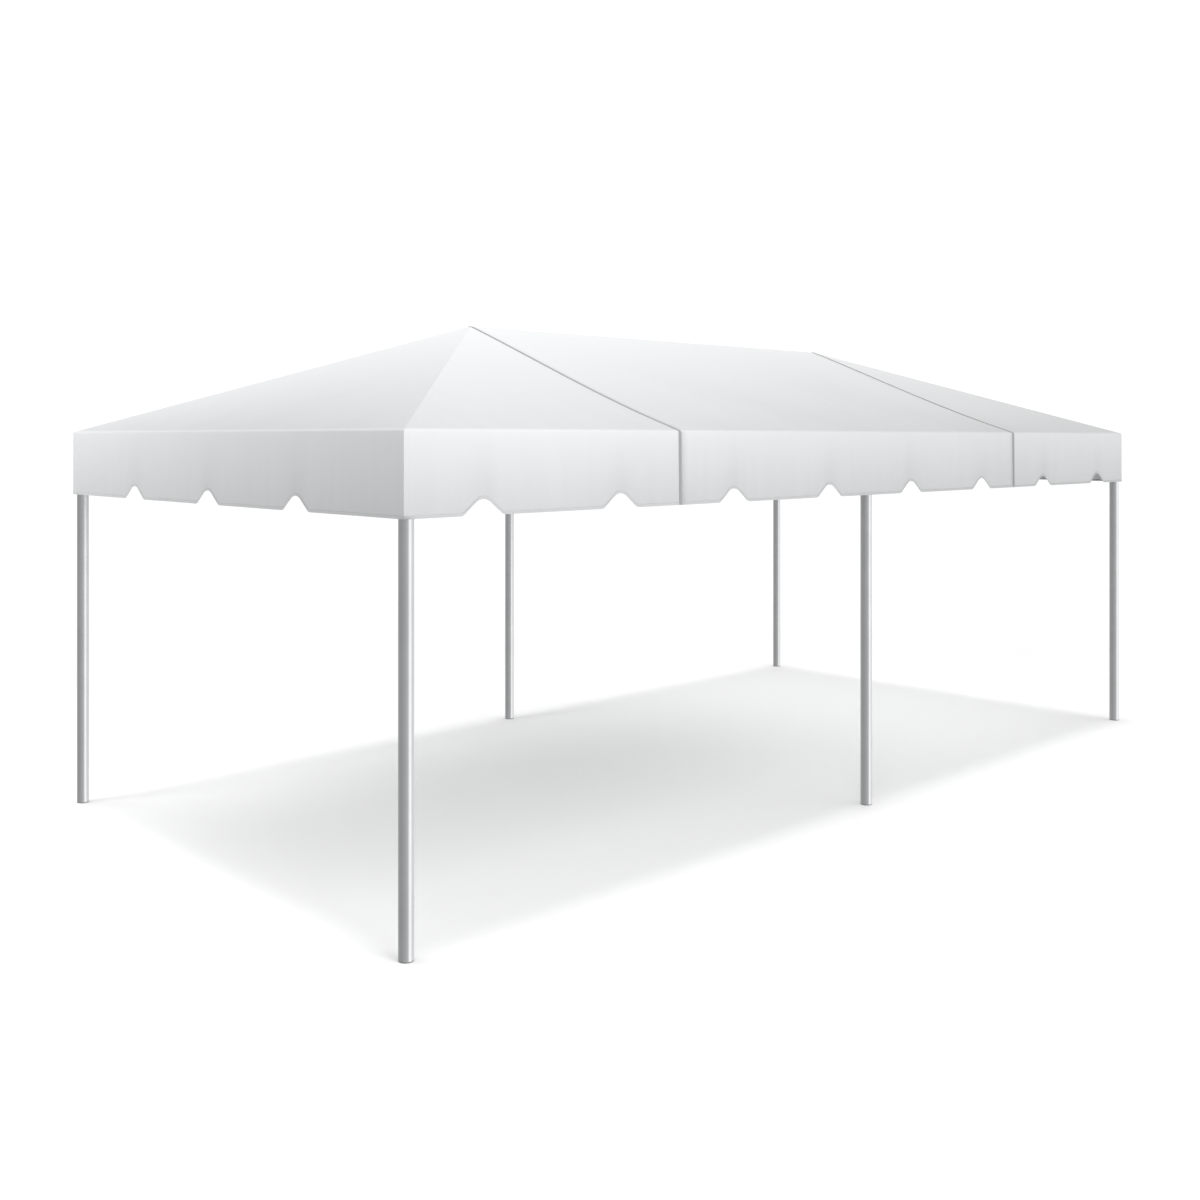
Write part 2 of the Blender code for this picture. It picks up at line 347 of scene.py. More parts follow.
metal_roughness = add_node(
    tree,
    "ShaderNodeMapRange",
    {},
    {"Value": lines.outputs["Fac"], "From Min": 0.3, "From Max": 0.7, "To Min": 0.27, "To Max": 0.37},
)
line_relief = add_node(
    tree, "ShaderNodeBump", {}, {"Height": lines.outputs["Fac"], "Strength": 0.08, "Distance": 0.0002}
)
tree.links.new(metal_colour.outputs[2], shader.inputs["Base Color"])
tree.links.new(metal_roughness.outputs["Result"], shader.inputs["Roughness"])
tree.links.new(line_relief.outputs["Normal"], shader.inputs["Normal"])
shader.inputs["Metallic"].default_value = 1
print("drawn lines every", DRAW_LINE_SPACING * 1000, "mm")

# %% [markdown]
# The fittings are short aluminium sleeves welded to a hub. Welding and sand casting leave a duller, mottled
# skin than the drawn tube has, with a slight orange-peel relief of about 3 mm.

# %% Welded aluminium
PEEL_SIZE = 0.003

welded_aluminium, tree, shader = new_finish("welded_aluminium")
in_metres = add_node(tree, "ShaderNodeTexCoord")
peel = add_node(
    tree,
    "ShaderNodeTexNoise",
    {},
    {"Vector": in_metres.outputs["Object"], "Scale": 1 / PEEL_SIZE, "Detail": 2},
)
mottle = add_node(
    tree, "ShaderNodeTexNoise", {}, {"Vector": in_metres.outputs["Object"], "Scale": 22, "Detail": 4}
)
metal_colour = add_node(
    tree,
    "ShaderNodeMix",
    {"data_type": "RGBA"},
    {0: mottle.outputs["Fac"], 6: colour("#AEAFB1"), 7: colour("#C4C5C7")},
)
metal_roughness = add_node(
    tree,
    "ShaderNodeMapRange",
    {},
    {"Value": mottle.outputs["Fac"], "From Min": 0.3, "From Max": 0.7, "To Min": 0.42, "To Max": 0.56},
)
peel_relief = add_node(
    tree, "ShaderNodeBump", {}, {"Height": peel.outputs["Fac"], "Strength": 0.2, "Distance": 0.0004}
)
tree.links.new(metal_colour.outputs[2], shader.inputs["Base Color"])
tree.links.new(metal_roughness.outputs["Result"], shader.inputs["Roughness"])
tree.links.new(peel_relief.outputs["Normal"], shader.inputs["Normal"])
shader.inputs["Metallic"].default_value = 1
print("orange peel", PEEL_SIZE * 1000, "mm")

# %% [markdown]
# Five small finishes are left: the grey vinyl that covers the seams, zinc-plated steel for the wing bolts,
# moulded nylon for the plugs and buckles, the sewing thread, and the woven tape of the hem and the straps.
# Each is one colour with a fine grain in its colour, roughness and relief, so one function makes all five.

# %% Small finishes


def grained(name, dark, light, grain, roughness, metallic=0.0, ior=1.5, relief=0.0002):
    """A finish with a fine grain of the given size in metres."""
    material, tree, shader = new_finish(name)
    in_metres = add_node(tree, "ShaderNodeTexCoord")
    speckle = add_node(
        tree,
        "ShaderNodeTexNoise",
        {},
        {"Vector": in_metres.outputs["Object"], "Scale": 1 / grain, "Detail": 3},
    )
    tint = add_node(
        tree,
        "ShaderNodeMix",
        {"data_type": "RGBA"},
        {0: speckle.outputs["Fac"], 6: colour(dark), 7: colour(light)},
    )
    spread = add_node(
        tree,
        "ShaderNodeMapRange",
        {},
        {"Value": speckle.outputs["Fac"], "To Min": roughness - 0.08, "To Max": roughness + 0.08},
    )
    bump = add_node(
        tree, "ShaderNodeBump", {}, {"Height": speckle.outputs["Fac"], "Strength": 0.3, "Distance": relief}
    )
    tree.links.new(tint.outputs[2], shader.inputs["Base Color"])
    tree.links.new(spread.outputs["Result"], shader.inputs["Roughness"])
    tree.links.new(bump.outputs["Normal"], shader.inputs["Normal"])
    shader.inputs["Metallic"].default_value = metallic
    if not metallic:
        shader.inputs["IOR"].default_value = ior
    return material


grey_vinyl = grained("grey_vinyl_strip", "#8E9091", "#9A9C9D", 0.004, 0.50, ior=1.53)
zinc_plate = grained("zinc_plated_steel", "#A3A5A8", "#C4C6C9", 0.002, 0.34, metallic=1.0)
nylon = grained("moulded_nylon", "#77797B", "#85878A", 0.0015, 0.55, ior=1.53)
sewing_thread = grained("bonded_polyester_thread", "#C9CACB", "#D5D6D7", 0.0006, 0.60, ior=1.53)
hem_webbing = grained("polyester_hem_tape", "#B7B8B9", "#C1C2C3", 0.0012, 0.62, ior=1.53)
print("made", *(finish.name for finish in (grey_vinyl, zinc_plate, nylon, sewing_thread, hem_webbing)))

# %% [markdown]
# Every piece ends the same way: its mesh goes into an object at the origin, with its finish, riding on the
# tent's one body. Curved metal is shaded smooth, with its real edges kept sharp.

# %% Helper for pieces
BODY = "root"


def mesh_from(bm, name):
    """A mesh from a bmesh, which is used up."""
    mesh = bpy.data.meshes.new(name)
    bm.to_mesh(mesh)
    bm.free()
    return mesh


def finished_piece(name, bm, material, sharp_degrees=30):
    """An object from a bmesh, in place, riding on the tent."""
    mesh = mesh_from(bm, name)
    mesh.materials.append(material)
    mesh.shade_smooth()
    mesh.set_sharp_from_angle(angle=math.radians(sharp_degrees))
    piece = bpy.data.objects.new(name, mesh)
    bpy.context.scene.collection.objects.link(piece)
    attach(piece, BODY)
    return piece


def thicken(piece, thickness, offset=-1):
    """Gives a piece's skin a wall, inward unless told otherwise."""
    wall = piece.modifiers.new("thickness", "SOLIDIFY")
    wall.thickness = thickness
    wall.offset = offset


print("pieces ride on", BODY)

# %% [markdown]
# A few more helpers shape the meshes. Small shapes such as stitches are made once and copied into a larger
# bmesh at many places. Operators give back all that they made, so the points are picked out of it. Every
# edge of metal or nylon that catches the light has a small round bevel.

# %% Helpers for shapes
SHARP_FOLD = math.radians(50)


def add_mesh(bm, part):
    """Adds one bmesh to another, and uses it up."""
    mesh = mesh_from(part, "part")
    bm.from_mesh(mesh)
    bpy.data.meshes.remove(mesh)


def add_copy(bm, mesh, place, turn):
    """Adds a turned copy of a small mesh at a place."""
    matrix = Matrix.Translation(place) @ turn
    mesh.transform(matrix)
    bm.from_mesh(mesh)
    mesh.transform(matrix.inverted())


def verts_of(made):
    """The points among what an operator made."""
    return [item for item in made["geom"] if isinstance(item, bmesh.types.BMVert)]


def round_edges(bm, edges, width):
    """Bevels edges in two steps."""
    bmesh.ops.bevel(bm, geom=edges, offset=width, segments=2, profile=0.5, affect="EDGES", material=-1)


def sharp_edges(bm):
    return [edge for edge in bm.edges if edge.calc_face_angle(0) > SHARP_FOLD]


print("edges that fold by more than", round(math.degrees(SHARP_FOLD)), "degrees count as sharp")

# %% [markdown]
# Now the cloth's shape. Seen from its end, the cloth goes straight up from the hem, turns over the eave
# tube in a small bend, climbs the slope and rolls over the ridge. That line is the same all round the tent,
# so it is worked out once, as rows of points: how far in from the eave, how high, and how far along the
# cloth. Strips with these rows are then cut at the hips, like a picture frame's mitres.

# %% The cloth's rows
EAVE_BEND = 0.012
RIDGE_BEND = 0.030
HEM_BAND = 0.018
HANGING_ROWS = 9
BEND_ROWS = 4
LEAST_ROW = 0.004

eave_turn = math.pi / 2 - SLOPE
eave_tangent = EAVE_BEND * math.tan(eave_turn / 2)
straight_top = EAVE - eave_tangent - HEM
bend_cloth = EAVE_BEND * eave_turn
slope_start = eave_tangent * math.cos(SLOPE)
ridge_start = HALF_WIDTH - RIDGE_BEND * math.sin(SLOPE)
ridge_centre_z = RIDGE - RIDGE_BEND / math.cos(SLOPE)


def slope_row(inward):
    """A row on the slope or the ridge's bend, at a distance in from the eave."""
    if inward <= ridge_start:
        height = EAVE + inward * math.tan(SLOPE)
    else:
        height = ridge_centre_z + math.sqrt(RIDGE_BEND**2 - (HALF_WIDTH - inward) ** 2)
    along = straight_top + bend_cloth + (inward - slope_start) / math.cos(SLOPE)
    return (inward, height, along)


def cloth_rows(slope_distances):
    """Rows from the hem to the ridge, as (inward, height, distance along the cloth)."""
    rows = [(0, HEM + up, up) for up in (0, LEAST_ROW, 0.010, HEM_BAND)]
    for step in range(1, HANGING_ROWS + 1):
        up = HEM_BAND + (straight_top - HEM_BAND) * step / HANGING_ROWS
        rows.append((0, HEM + up, up))
    for step in range(1, BEND_ROWS + 1):
        angle = eave_turn * step / BEND_ROWS
        inward = EAVE_BEND * (1 - math.cos(angle))
        height = EAVE - eave_tangent + EAVE_BEND * math.sin(angle)
        rows.append((inward, height, straight_top + EAVE_BEND * angle))
    rows += [slope_row(distance) for distance in slope_distances if distance > slope_start + LEAST_ROW]
    return rows


print("cloth from hem to ridge:", round(slope_row(HALF_WIDTH)[2], 3), "m")

# %% [markdown]
# The hem is cut into bells: straight flanks that meet a round crest, and a small curve at the foot. Columns
# of points crowd together at each bell so that its curve is smooth, and are spread out between them. The
# height of the cut is a function of the distance from the middle of the bell.

# %% Bells along the hem
BELL_WIDTH = 0.205
BELL_DEPTH = 0.064
BELL_CREST = 0.062
BELL_FOOT = 0.010
BELL_PITCH = 0.762
WIDEST_COLUMN = 0.07

half_bell = BELL_WIDTH / 2
crest_centre = BELL_DEPTH - BELL_CREST
flank = math.atan2(crest_centre, half_bell) + math.asin(BELL_CREST / math.hypot(half_bell, crest_centre))


def bell_height(offset):
    """How far the hem is cut up, at a distance from a bell's middle."""
    offset = abs(offset)
    if offset <= BELL_CREST * math.sin(flank):
        return crest_centre + math.sqrt(BELL_CREST**2 - offset**2)
    if offset <= half_bell - BELL_FOOT:
        return (half_bell - offset) * math.tan(flank)
    if offset < half_bell + BELL_FOOT:
        return (half_bell + BELL_FOOT - offset) ** 2 * math.tan(flank) / (4 * BELL_FOOT)
    return 0.0


CREST_STEPS = 7
FOOT_SHARES = (-1, -0.4, 0.2, 1)
bell_offsets = [BELL_CREST * math.sin(flank * step / CREST_STEPS) for step in range(CREST_STEPS + 1)]
bell_offsets += [half_bell + BELL_FOOT * share for share in FOOT_SHARES]
bell_offsets += [(bell_offsets[CREST_STEPS] + half_bell - BELL_FOOT) / 2]


def columns_between(start, end, bells):
    """Distances along a side, close at each bell and no wider apart than WIDEST_COLUMN elsewhere."""
    fixed = {round(start, 6), round(end, 6)}
    for bell in bells:
        for offset in bell_offsets:
            fixed |= {round(bell + sign * offset, 6) for sign in (-1, 1)}
    fixed = sorted(place for place in fixed if start <= place <= end)
    columns = []
    for here, there in zip(fixed, fixed[1:]):
        steps = max(1, math.ceil((there - here) / WIDEST_COLUMN))
        columns += [here + (there - here) * step / steps for step in range(steps)]
    return columns + [end]


print("bell flanks at", round(math.degrees(flank), 1), "degrees")

# %% [markdown]
# Stretched cloth still gives a little. It rests on the ridge, the hips, the rafters and the eave tubes, and
# hangs a few millimetres lower in the triangles between them. In each triangle the drop follows the product
# of the three distances from its sides, which is nothing on the tubes and greatest in the middle, where
# three thirds make one twenty-seventh. The valance hangs free, so the tabs between the bells swing out a
# little, each not quite alike.

# %% Sag and drape
SAG = 0.014
MIDDLE_PRODUCT = 1 / 27
TAB_SWING = 0.005
CORNER_CALM = 0.30
UNEVEN_RATE = 5.3

crowns = {end: Vector((end * SEAM, 0)) for end in (-1, 1)}
resting_triangles = []
for end in (-1, 1):
    corners = [Vector((end * FRAME_X, side * FRAME_Y)) for side in (-1, 1)]
    resting_triangles.append((corners[0], corners[1], crowns[end]))
    for side in (-1, 1):
        corner = Vector((end * FRAME_X, side * FRAME_Y))
        resting_triangles.append((corner, Vector((0, side * FRAME_Y)), crowns[end]))
for side in (-1, 1):
    resting_triangles.append((crowns[-1], crowns[1], Vector((0, side * FRAME_Y))))


def area(a, b, c):
    return (b.x - a.x) * (c.y - a.y) - (c.x - a.x) * (b.y - a.y)


def sag_at(x, y):
    """How far the cloth hangs below the straight slope at a point of the plan."""
    point = Vector((x, y))
    for a, b, c in resting_triangles:
        whole = area(a, b, c)
        shares = (area(point, b, c) / whole, area(a, point, c) / whole, area(a, b, point) / whole)
        if min(shares) > 0:
            return SAG / MIDDLE_PRODUCT * shares[0] * shares[1] * shares[2]
    return 0.0


def swing_at(along, side_length, height):
    """How far the valance swings out, at a distance along its side and a height above the ground."""
    down = max(0.0, (EAVE - eave_tangent - height) / straight_top)
    calm = min(1.0, min(along, side_length - along) / CORNER_CALM)
    calm = calm * calm * (3 - 2 * calm)
    tabs = 0.5 - 0.5 * math.cos(2 * math.pi * (along / BELL_PITCH + 0.5))
    drift = 0.75 + 0.25 * math.sin(UNEVEN_RATE * along + 1.0)
    return TAB_SWING * down**1.5 * calm * tabs * drift


print("sag in the middle of a slope:", round(sag_at(-SEAM, -1.0) * 1000, 1), "mm")

# %% [markdown]
# Every point of the cloth can be named by its side of the tent, how far it is along that side, and its row.
# One function turns that into a place. It works as if the side were the front, and then turns the point to
# its own side. A lift moves a point out from the cloth, for what lies on it, such as tape and stitches.

# %% Places on the cloth
SIDE_BELLS = round(2 * HALF_LENGTH / BELL_PITCH)
END_BELLS = round(2 * HALF_WIDTH / BELL_PITCH) - 1
side_bells = [BELL_PITCH * (number + 0.5) - HALF_LENGTH for number in range(SIDE_BELLS)]
end_bells = [BELL_PITCH * (number + 1) - HALF_WIDTH for number in range(END_BELLS)]
sides = {
    "front": {"turn": 0, "half": HALF_LENGTH, "depth": HALF_WIDTH, "bells": side_bells},
    "back": {"turn": math.pi, "half": HALF_LENGTH, "depth": HALF_WIDTH, "bells": side_bells},
    "left_end": {"turn": -math.pi / 2, "half": HALF_WIDTH, "depth": HALF_LENGTH, "bells": end_bells},
    "right_end": {"turn": math.pi / 2, "half": HALF_WIDTH, "depth": HALF_LENGTH, "bells": end_bells},
}


def cloth_point(side, across, row, lift=0.0, cut_bells=True):
    """The place of a row's point on a side, at a distance across from the side's middle."""
    inward, height, along = row
    up = height - HEM
    hanging = along <= straight_top
    if hanging and cut_bells:
        cut = max(bell_height(across - bell) for bell in side["bells"])
        up += cut * min(1.0, (straight_top - along) / (straight_top - HEM_BAND))
    tilt = math.pi / 2 if hanging else SLOPE
    swing = swing_at(across + side["half"], 2 * side["half"], HEM + up) if hanging else 0
    out = lift * math.sin(tilt) + swing
    drawn = Vector((across, inward - side["depth"] - out, HEM + up + lift * math.cos(tilt)))
    point = Matrix.Rotation(side["turn"], 3, "Z") @ drawn
    if along > straight_top + bend_cloth:
        point.z -= sag_at(point.x, point.y)
    return point


print("sides:", list(sides))

# %% [markdown]
# A strip of cloth starts as a flat grid with one column for each distance along the eave and one row for
# each step up the cloth, and each point of the grid is moved to its place. Two numbers are stored for the
# finish: the cloth's UV map in metres, and the distance from the nearest hip.

# %% A strip of cloth
CUT_TOLERANCE = 0.00002


def strip(side, columns, rows, lift=0.0, cut_bells=True):
    bm = bmesh.new()
    bmesh.ops.create_grid(bm, x_segments=len(columns) - 1, y_segments=len(rows) - 1, size=1)
    hip_distance = bm.verts.layers.float.new("hip_distance")
    place_on_cloth = {}
    for vert in bm.verts:
        across = columns[round((vert.co.x + 1) / 2 * (len(columns) - 1))]
        row = rows[round((vert.co.y + 1) / 2 * (len(rows) - 1))]
        vert.co = cloth_point(side, across, row, lift, cut_bells)
        vert[hip_distance] = abs(side["half"] - abs(across) - row[0]) / math.sqrt(2)
        place_on_cloth[vert] = (across + side["half"], row[2])
    uv = bm.loops.layers.uv.new("cloth")
    for face in bm.faces:
        for loop in face.loops:
            loop[uv].uv = place_on_cloth[loop.vert]
    return bm


def mitre(bm, corner, outward):
    """Cuts a strip along the upright plane of a hip, and drops what lies beyond."""
    geometry = bm.verts[:] + bm.edges[:] + bm.faces[:]
    bmesh.ops.bisect_plane(
        bm, geom=geometry, dist=CUT_TOLERANCE, plane_co=corner, plane_no=outward, clear_outer=True
    )


print("strips are cut at the hips by upright planes")

# %% [markdown]
# The hip end is three strips: the end itself and the two short lengths of front and back up to the seam.
# The strips of neighbouring sides have the same spacing from the corner, so their cut edges match point for
# point and can be merged. The middle section is two strips that meet at the ridge.

# %% Canopy sections
CLOTH_THICKNESS = 0.0012
SLOPE_STEPS = 26
RIDGE_STEPS = 3

from_corner = columns_between(0, SEAM, [BELL_PITCH * half / 2 for half in (1, 2, 3, 4)])
end_columns = [place - HALF_WIDTH for place in from_corner]
end_columns += [HALF_WIDTH - place for place in from_corner[-2::-1]]
middle_columns = columns_between(-SEAM, SEAM, [bell for bell in side_bells if abs(bell) < SEAM])
end_rows = cloth_rows(from_corner)
ridge_distances = [ridge_start * step / SLOPE_STEPS for step in range(1, SLOPE_STEPS + 1)]
ridge_distances += [
    ridge_start + (HALF_WIDTH - ridge_start) * step / RIDGE_STEPS for step in range(1, RIDGE_STEPS + 1)
]
middle_rows = cloth_rows(ridge_distances)


def side_columns(side_name, end):
    """The columns of a long side's short length at one end; end is -1 at the left and 1 at the right."""
    if (side_name == "front") == (end < 0):
        return [place - HALF_LENGTH for place in from_corner]
    return [HALF_LENGTH - place for place in reversed(from_corner)]


def join_up(bm):
    """Merges the edges where strips meet, and turns the faces the same way."""
    bmesh.ops.remove_doubles(bm, verts=bm.verts[:], dist=HAIR)
    bmesh.ops.recalc_face_normals(bm, faces=bm.faces[:])
    return bm


def hip_end_mesh(end):
    """The cloth of one hip end."""
    bm = bmesh.new()
    end_strip = strip(sides["left_end" if end < 0 else "right_end"], end_columns, end_rows)
    for side_name, y in (("front", -1), ("back", 1)):
        corner = Vector((end * HALF_LENGTH, y * HALF_WIDTH, 0))
        mitre(end_strip, corner, Vector((-end, y, 0)))
        side_strip = strip(sides[side_name], side_columns(side_name, end), end_rows)
        mitre(side_strip, corner, Vector((end, -y, 0)))
        add_mesh(bm, side_strip)
    add_mesh(bm, end_strip)
    return join_up(bm)


def over_ridge_mesh(columns_of, **options):
    """Front and back strips that meet at the ridge. columns_of gives each side's columns."""
    bm = bmesh.new()
    for side_name in ("front", "back"):
        add_mesh(bm, strip(sides[side_name], columns_of(side_name), middle_rows, **options))
    return join_up(bm)


canopy_sections = {}
section_shapes = {
    "left": hip_end_mesh(-1),
    "middle": over_ridge_mesh(lambda side_name: middle_columns),
    "right": hip_end_mesh(1),
}
for where, bm in section_shapes.items():
    section = finished_piece(f"canopy_{where}_section", bm, coated_cloth, sharp_degrees=14)
    thicken(section, CLOTH_THICKNESS)
    nodes = [f"{part}_{side}_{where}" for part in ("roof", "valance") for side in ("front", "back")]
    if where != "middle":
        nodes += [f"{part}_{where}_end" for part in ("roof", "valance")]
    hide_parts(*nodes)
    canopy_sections[where] = section
    print(section.name, len(section.data.polygons), "faces")

# %% [markdown]
# Where two sections meet, a narrow grey strip covers the join from hem to hem, up over the ridge. It
# follows the same rows as the cloth, lifted by its own thickness, and is bevelled so that its edges catch
# the light.

# %% Seam strips
STRIP_WIDTH = 0.018
STRIP_THICKNESS = 0.0016
STRIP_BEVEL = 0.0005

seam_strips = {}
for where, end in (("left", -1), ("right", 1)):

    def strip_columns(side_name, x=end * SEAM):
        middle = x if side_name == "front" else -x
        return [middle - STRIP_WIDTH / 2, middle, middle + STRIP_WIDTH / 2]

    bm = over_ridge_mesh(strip_columns, lift=STRIP_THICKNESS, cut_bells=False)
    piece = finished_piece(f"seam_strip_{where}", bm, grey_vinyl)
    thicken(piece, STRIP_THICKNESS)
    edges = piece.modifiers.new("soft_edges", "BEVEL")
    edges.width = STRIP_BEVEL
    edges.segments = 2
    edges.limit_method = "ANGLE"
    edges.angle_limit = SHARP_FOLD
    seam_strips[where] = piece
    print(piece.name, len(piece.data.polygons), "faces")

# %% [markdown]
# The hem is bound with a tape, folded over the raw cut and sewn, so that it can't fray. It follows every
# bell. Its rows go down the inside of the cloth, round the edge and up the outside, which makes one folded
# strip.

# %% Hem tape
TAPE_THICKNESS = 0.0007
TAPE_WIDTH = 0.012

inside_face = CLOTH_THICKNESS + TAPE_THICKNESS
tape_rows = [
    (inside_face, HEM + TAPE_WIDTH, TAPE_WIDTH),
    (inside_face, HEM, 0),
    (inside_face / 2, HEM - TAPE_THICKNESS, 0),
    (-TAPE_THICKNESS, HEM, 0),
    (-TAPE_THICKNESS, HEM + TAPE_WIDTH, TAPE_WIDTH),
]


def hem_runs(where):
    """The lengths of hem that belong to one section, as side and columns."""
    if where == "middle":
        return [("front", middle_columns), ("back", middle_columns)]
    end = -1 if where == "left" else 1
    runs = [(side_name, side_columns(side_name, end)) for side_name in ("front", "back")]
    return runs + [(f"{where}_end", end_columns)]


hem_tapes = {}
for where in canopy_sections:
    bm = bmesh.new()
    for side_name, columns in hem_runs(where):
        add_mesh(bm, strip(sides[side_name], columns, tape_rows))
    piece = finished_piece(f"hem_tape_{where}", bm, hem_webbing)
    thicken(piece, TAPE_THICKNESS - HAIR)
    hem_tapes[where] = piece
    print(piece.name, len(piece.data.polygons), "faces")

# %% [markdown]
# The hem tape and the seam strips are sewn with white thread, in a lock stitch of 7.5 mm, three or four to
# the inch. Each stitch is a small stretched ball, sunk a little into the tape. One is made and is copied
# along each row of sewing, turned to the way that the row runs there. The sewing of a seam starts above the
# hem's edge and stops short of the ridge, so it leaves out the first two of the cloth's rows and the last
# three.

# %% Stitches
STITCH_PITCH = 0.0075
STITCH_LENGTH = 0.0052
STITCH_WIDTH = 0.0010
STITCH_HEIGHT = 0.0008
HEM_STITCH_PLACE = 0.6
SEAM_STITCH_PLACE = 0.3
UNSEWN_AT_HEM = 2
UNSEWN_AT_RIDGE = 3

bm = bmesh.new()
bmesh.ops.create_icosphere(bm, subdivisions=1, radius=0.5)
bmesh.ops.scale(bm, vec=(STITCH_LENGTH, STITCH_WIDTH, STITCH_HEIGHT), verts=bm.verts[:])
one_stitch = mesh_from(bm, "one_stitch")


def sew_along(bm, points, faces_towards):
    """Adds stitches along a line of points. faces_towards gives the way that the cloth faces at a point."""
    spare = 0.0
    for here, there in zip(points, points[1:]):
        step = there - here
        length = step.length
        while spare < length:
            middle = here + step * (spare / length)
            along = step.normalized()
            normal = faces_towards(middle)
            across = normal.cross(along).normalized()
            turn = Matrix((along, across, along.cross(across))).transposed().to_4x4()
            add_copy(bm, one_stitch, middle, turn)
            spare += STITCH_PITCH
        spare -= length


def outward_of(side):
    return Matrix.Rotation(side["turn"], 3, "Z") @ Vector((0, -1, 0))


hem_stitches = {}
stitch_row = (0, HEM + TAPE_WIDTH * HEM_STITCH_PLACE, TAPE_WIDTH * HEM_STITCH_PLACE)
for where in canopy_sections:
    bm = bmesh.new()
    for side_name, columns in hem_runs(where):
        side = sides[side_name]
        points = [cloth_point(side, across, stitch_row, TAPE_THICKNESS) for across in columns]
        sew_along(bm, points, lambda point, side=side: outward_of(side))
    hem_stitches[where] = finished_piece(f"hem_stitches_{where}", bm, sewing_thread, 60)
    print(hem_stitches[where].name, len(hem_stitches[where].data.polygons), "faces")

seam_stitches = {}
sewn_rows = middle_rows[UNSEWN_AT_HEM:-UNSEWN_AT_RIDGE]
for where, end in (("left", -1), ("right", 1)):
    bm = bmesh.new()
    for side_name in ("front", "back"):
        side = sides[side_name]
        upward = outward_of(side) * math.sin(SLOPE) + Vector((0, 0, math.cos(SLOPE)))
        for offset in (-SEAM_STITCH_PLACE, SEAM_STITCH_PLACE):
            across = (end if side_name == "front" else -end) * SEAM + offset * STRIP_WIDTH
            points = [cloth_point(side, across, row, STRIP_THICKNESS, False) for row in sewn_rows]
            sew_along(
                bm,
                points,
                lambda point, side=side, upward=upward: upward if point.z > EAVE else outward_of(side),
            )
    seam_stitches[where] = finished_piece(f"seam_stitches_{where}", bm, sewing_thread, 60)
    print(seam_stitches[where].name, len(seam_stitches[where].data.polygons), "faces")

# %% [markdown]
# Inside, straps tie the cloth down to the eave tubes. Each is sewn to the valance, passes under the tube,
# goes up round it and is sewn to the roof cloth, with a slide buckle to pull it tight. Seen from its edge,
# a strap is a line that touches the round tube, so the places where it meets and leaves the tube are found
# as tangents to a circle.

# %% Tie straps
STRAP_WIDTH = 0.025
STRAP_THICKNESS = 0.0012
STRAP_SLACK = 0.0006
STRAP_RING = TUBE_RADIUS + STRAP_THICKNESS / 2 + STRAP_SLACK
STRAP_LIFT = -(CLOTH_THICKNESS + STRAP_THICKNESS / 2 + HAIR)
STRAP_REACH = 0.075
PATCH_LENGTH = 0.035
PATCH_SHARES = (0, 0.5, 1)
RING_STEPS = 6
PATCH_STITCH_PLACE = 0.38
BUCKLE = (0.034, 0.022, 0.0035)
BUCKLE_BAR = 0.004
BUCKLE_BEVEL = 0.0008
BUCKLE_PLACE = 0.45
END_STRAP = 0.45

tube_centre = Vector((HALF_WIDTH - FRAME_Y, FRAME_Z))
valance_patch = EAVE - STRAP_REACH
roof_start = Vector((STRAP_REACH, EAVE + STRAP_REACH * math.tan(SLOPE)))
touches = []
for place, turn in ((Vector((0, valance_patch)), 1), (roof_start, -1)):
    reach = place - tube_centre
    touches.append(math.atan2(reach.y, reach.x) + turn * math.acos(STRAP_RING / reach.length))


def strap_line(side, across):
    """The middle of a strap as places, from the valance, under the tube and up to the roof."""
    points = []
    for share in reversed(PATCH_SHARES):
        height = valance_patch - PATCH_LENGTH * share
        points.append(cloth_point(side, across, (0, height, height - HEM), STRAP_LIFT))
    for step in range(RING_STEPS + 1):
        angle = touches[0] + (touches[1] - touches[0]) * step / RING_STEPS
        inward = tube_centre.x + STRAP_RING * math.cos(angle)
        drawn = Vector((across, inward - side["depth"], tube_centre.y + STRAP_RING * math.sin(angle)))
        points.append(Matrix.Rotation(side["turn"], 3, "Z") @ drawn)
    for share in PATCH_SHARES:
        points.append(cloth_point(side, across, slope_row(STRAP_REACH + PATCH_LENGTH * share), STRAP_LIFT))
    return points


def buckle_mesh(place, along, across):
    """A slide buckle: a flat frame, lying on a strap."""
    bm = bmesh.new()
    bmesh.ops.create_grid(bm, x_segments=1, y_segments=1, size=0.5)
    bmesh.ops.scale(bm, vec=(BUCKLE[0], BUCKLE[1], 1), verts=bm.verts[:])
    bmesh.ops.inset_region(
        bm, faces=bm.faces[:], thickness=BUCKLE_BAR, use_boundary=True, use_even_offset=True
    )
    middle = min(bm.faces, key=lambda face: face.calc_center_median().length)
    bmesh.ops.delete(bm, geom=[middle], context="FACES_ONLY")
    raised = bmesh.ops.extrude_face_region(bm, geom=bm.faces[:])
    bmesh.ops.translate(bm, verts=verts_of(raised), vec=(0, 0, BUCKLE[2]))
    bmesh.ops.recalc_face_normals(bm, faces=bm.faces[:])
    round_edges(bm, sharp_edges(bm), BUCKLE_BEVEL)
    frame_axes = Matrix((across, along, across.cross(along))).transposed().to_4x4()
    bmesh.ops.transform(bm, matrix=Matrix.Translation(place) @ frame_axes, verts=bm.verts[:])
    return bm


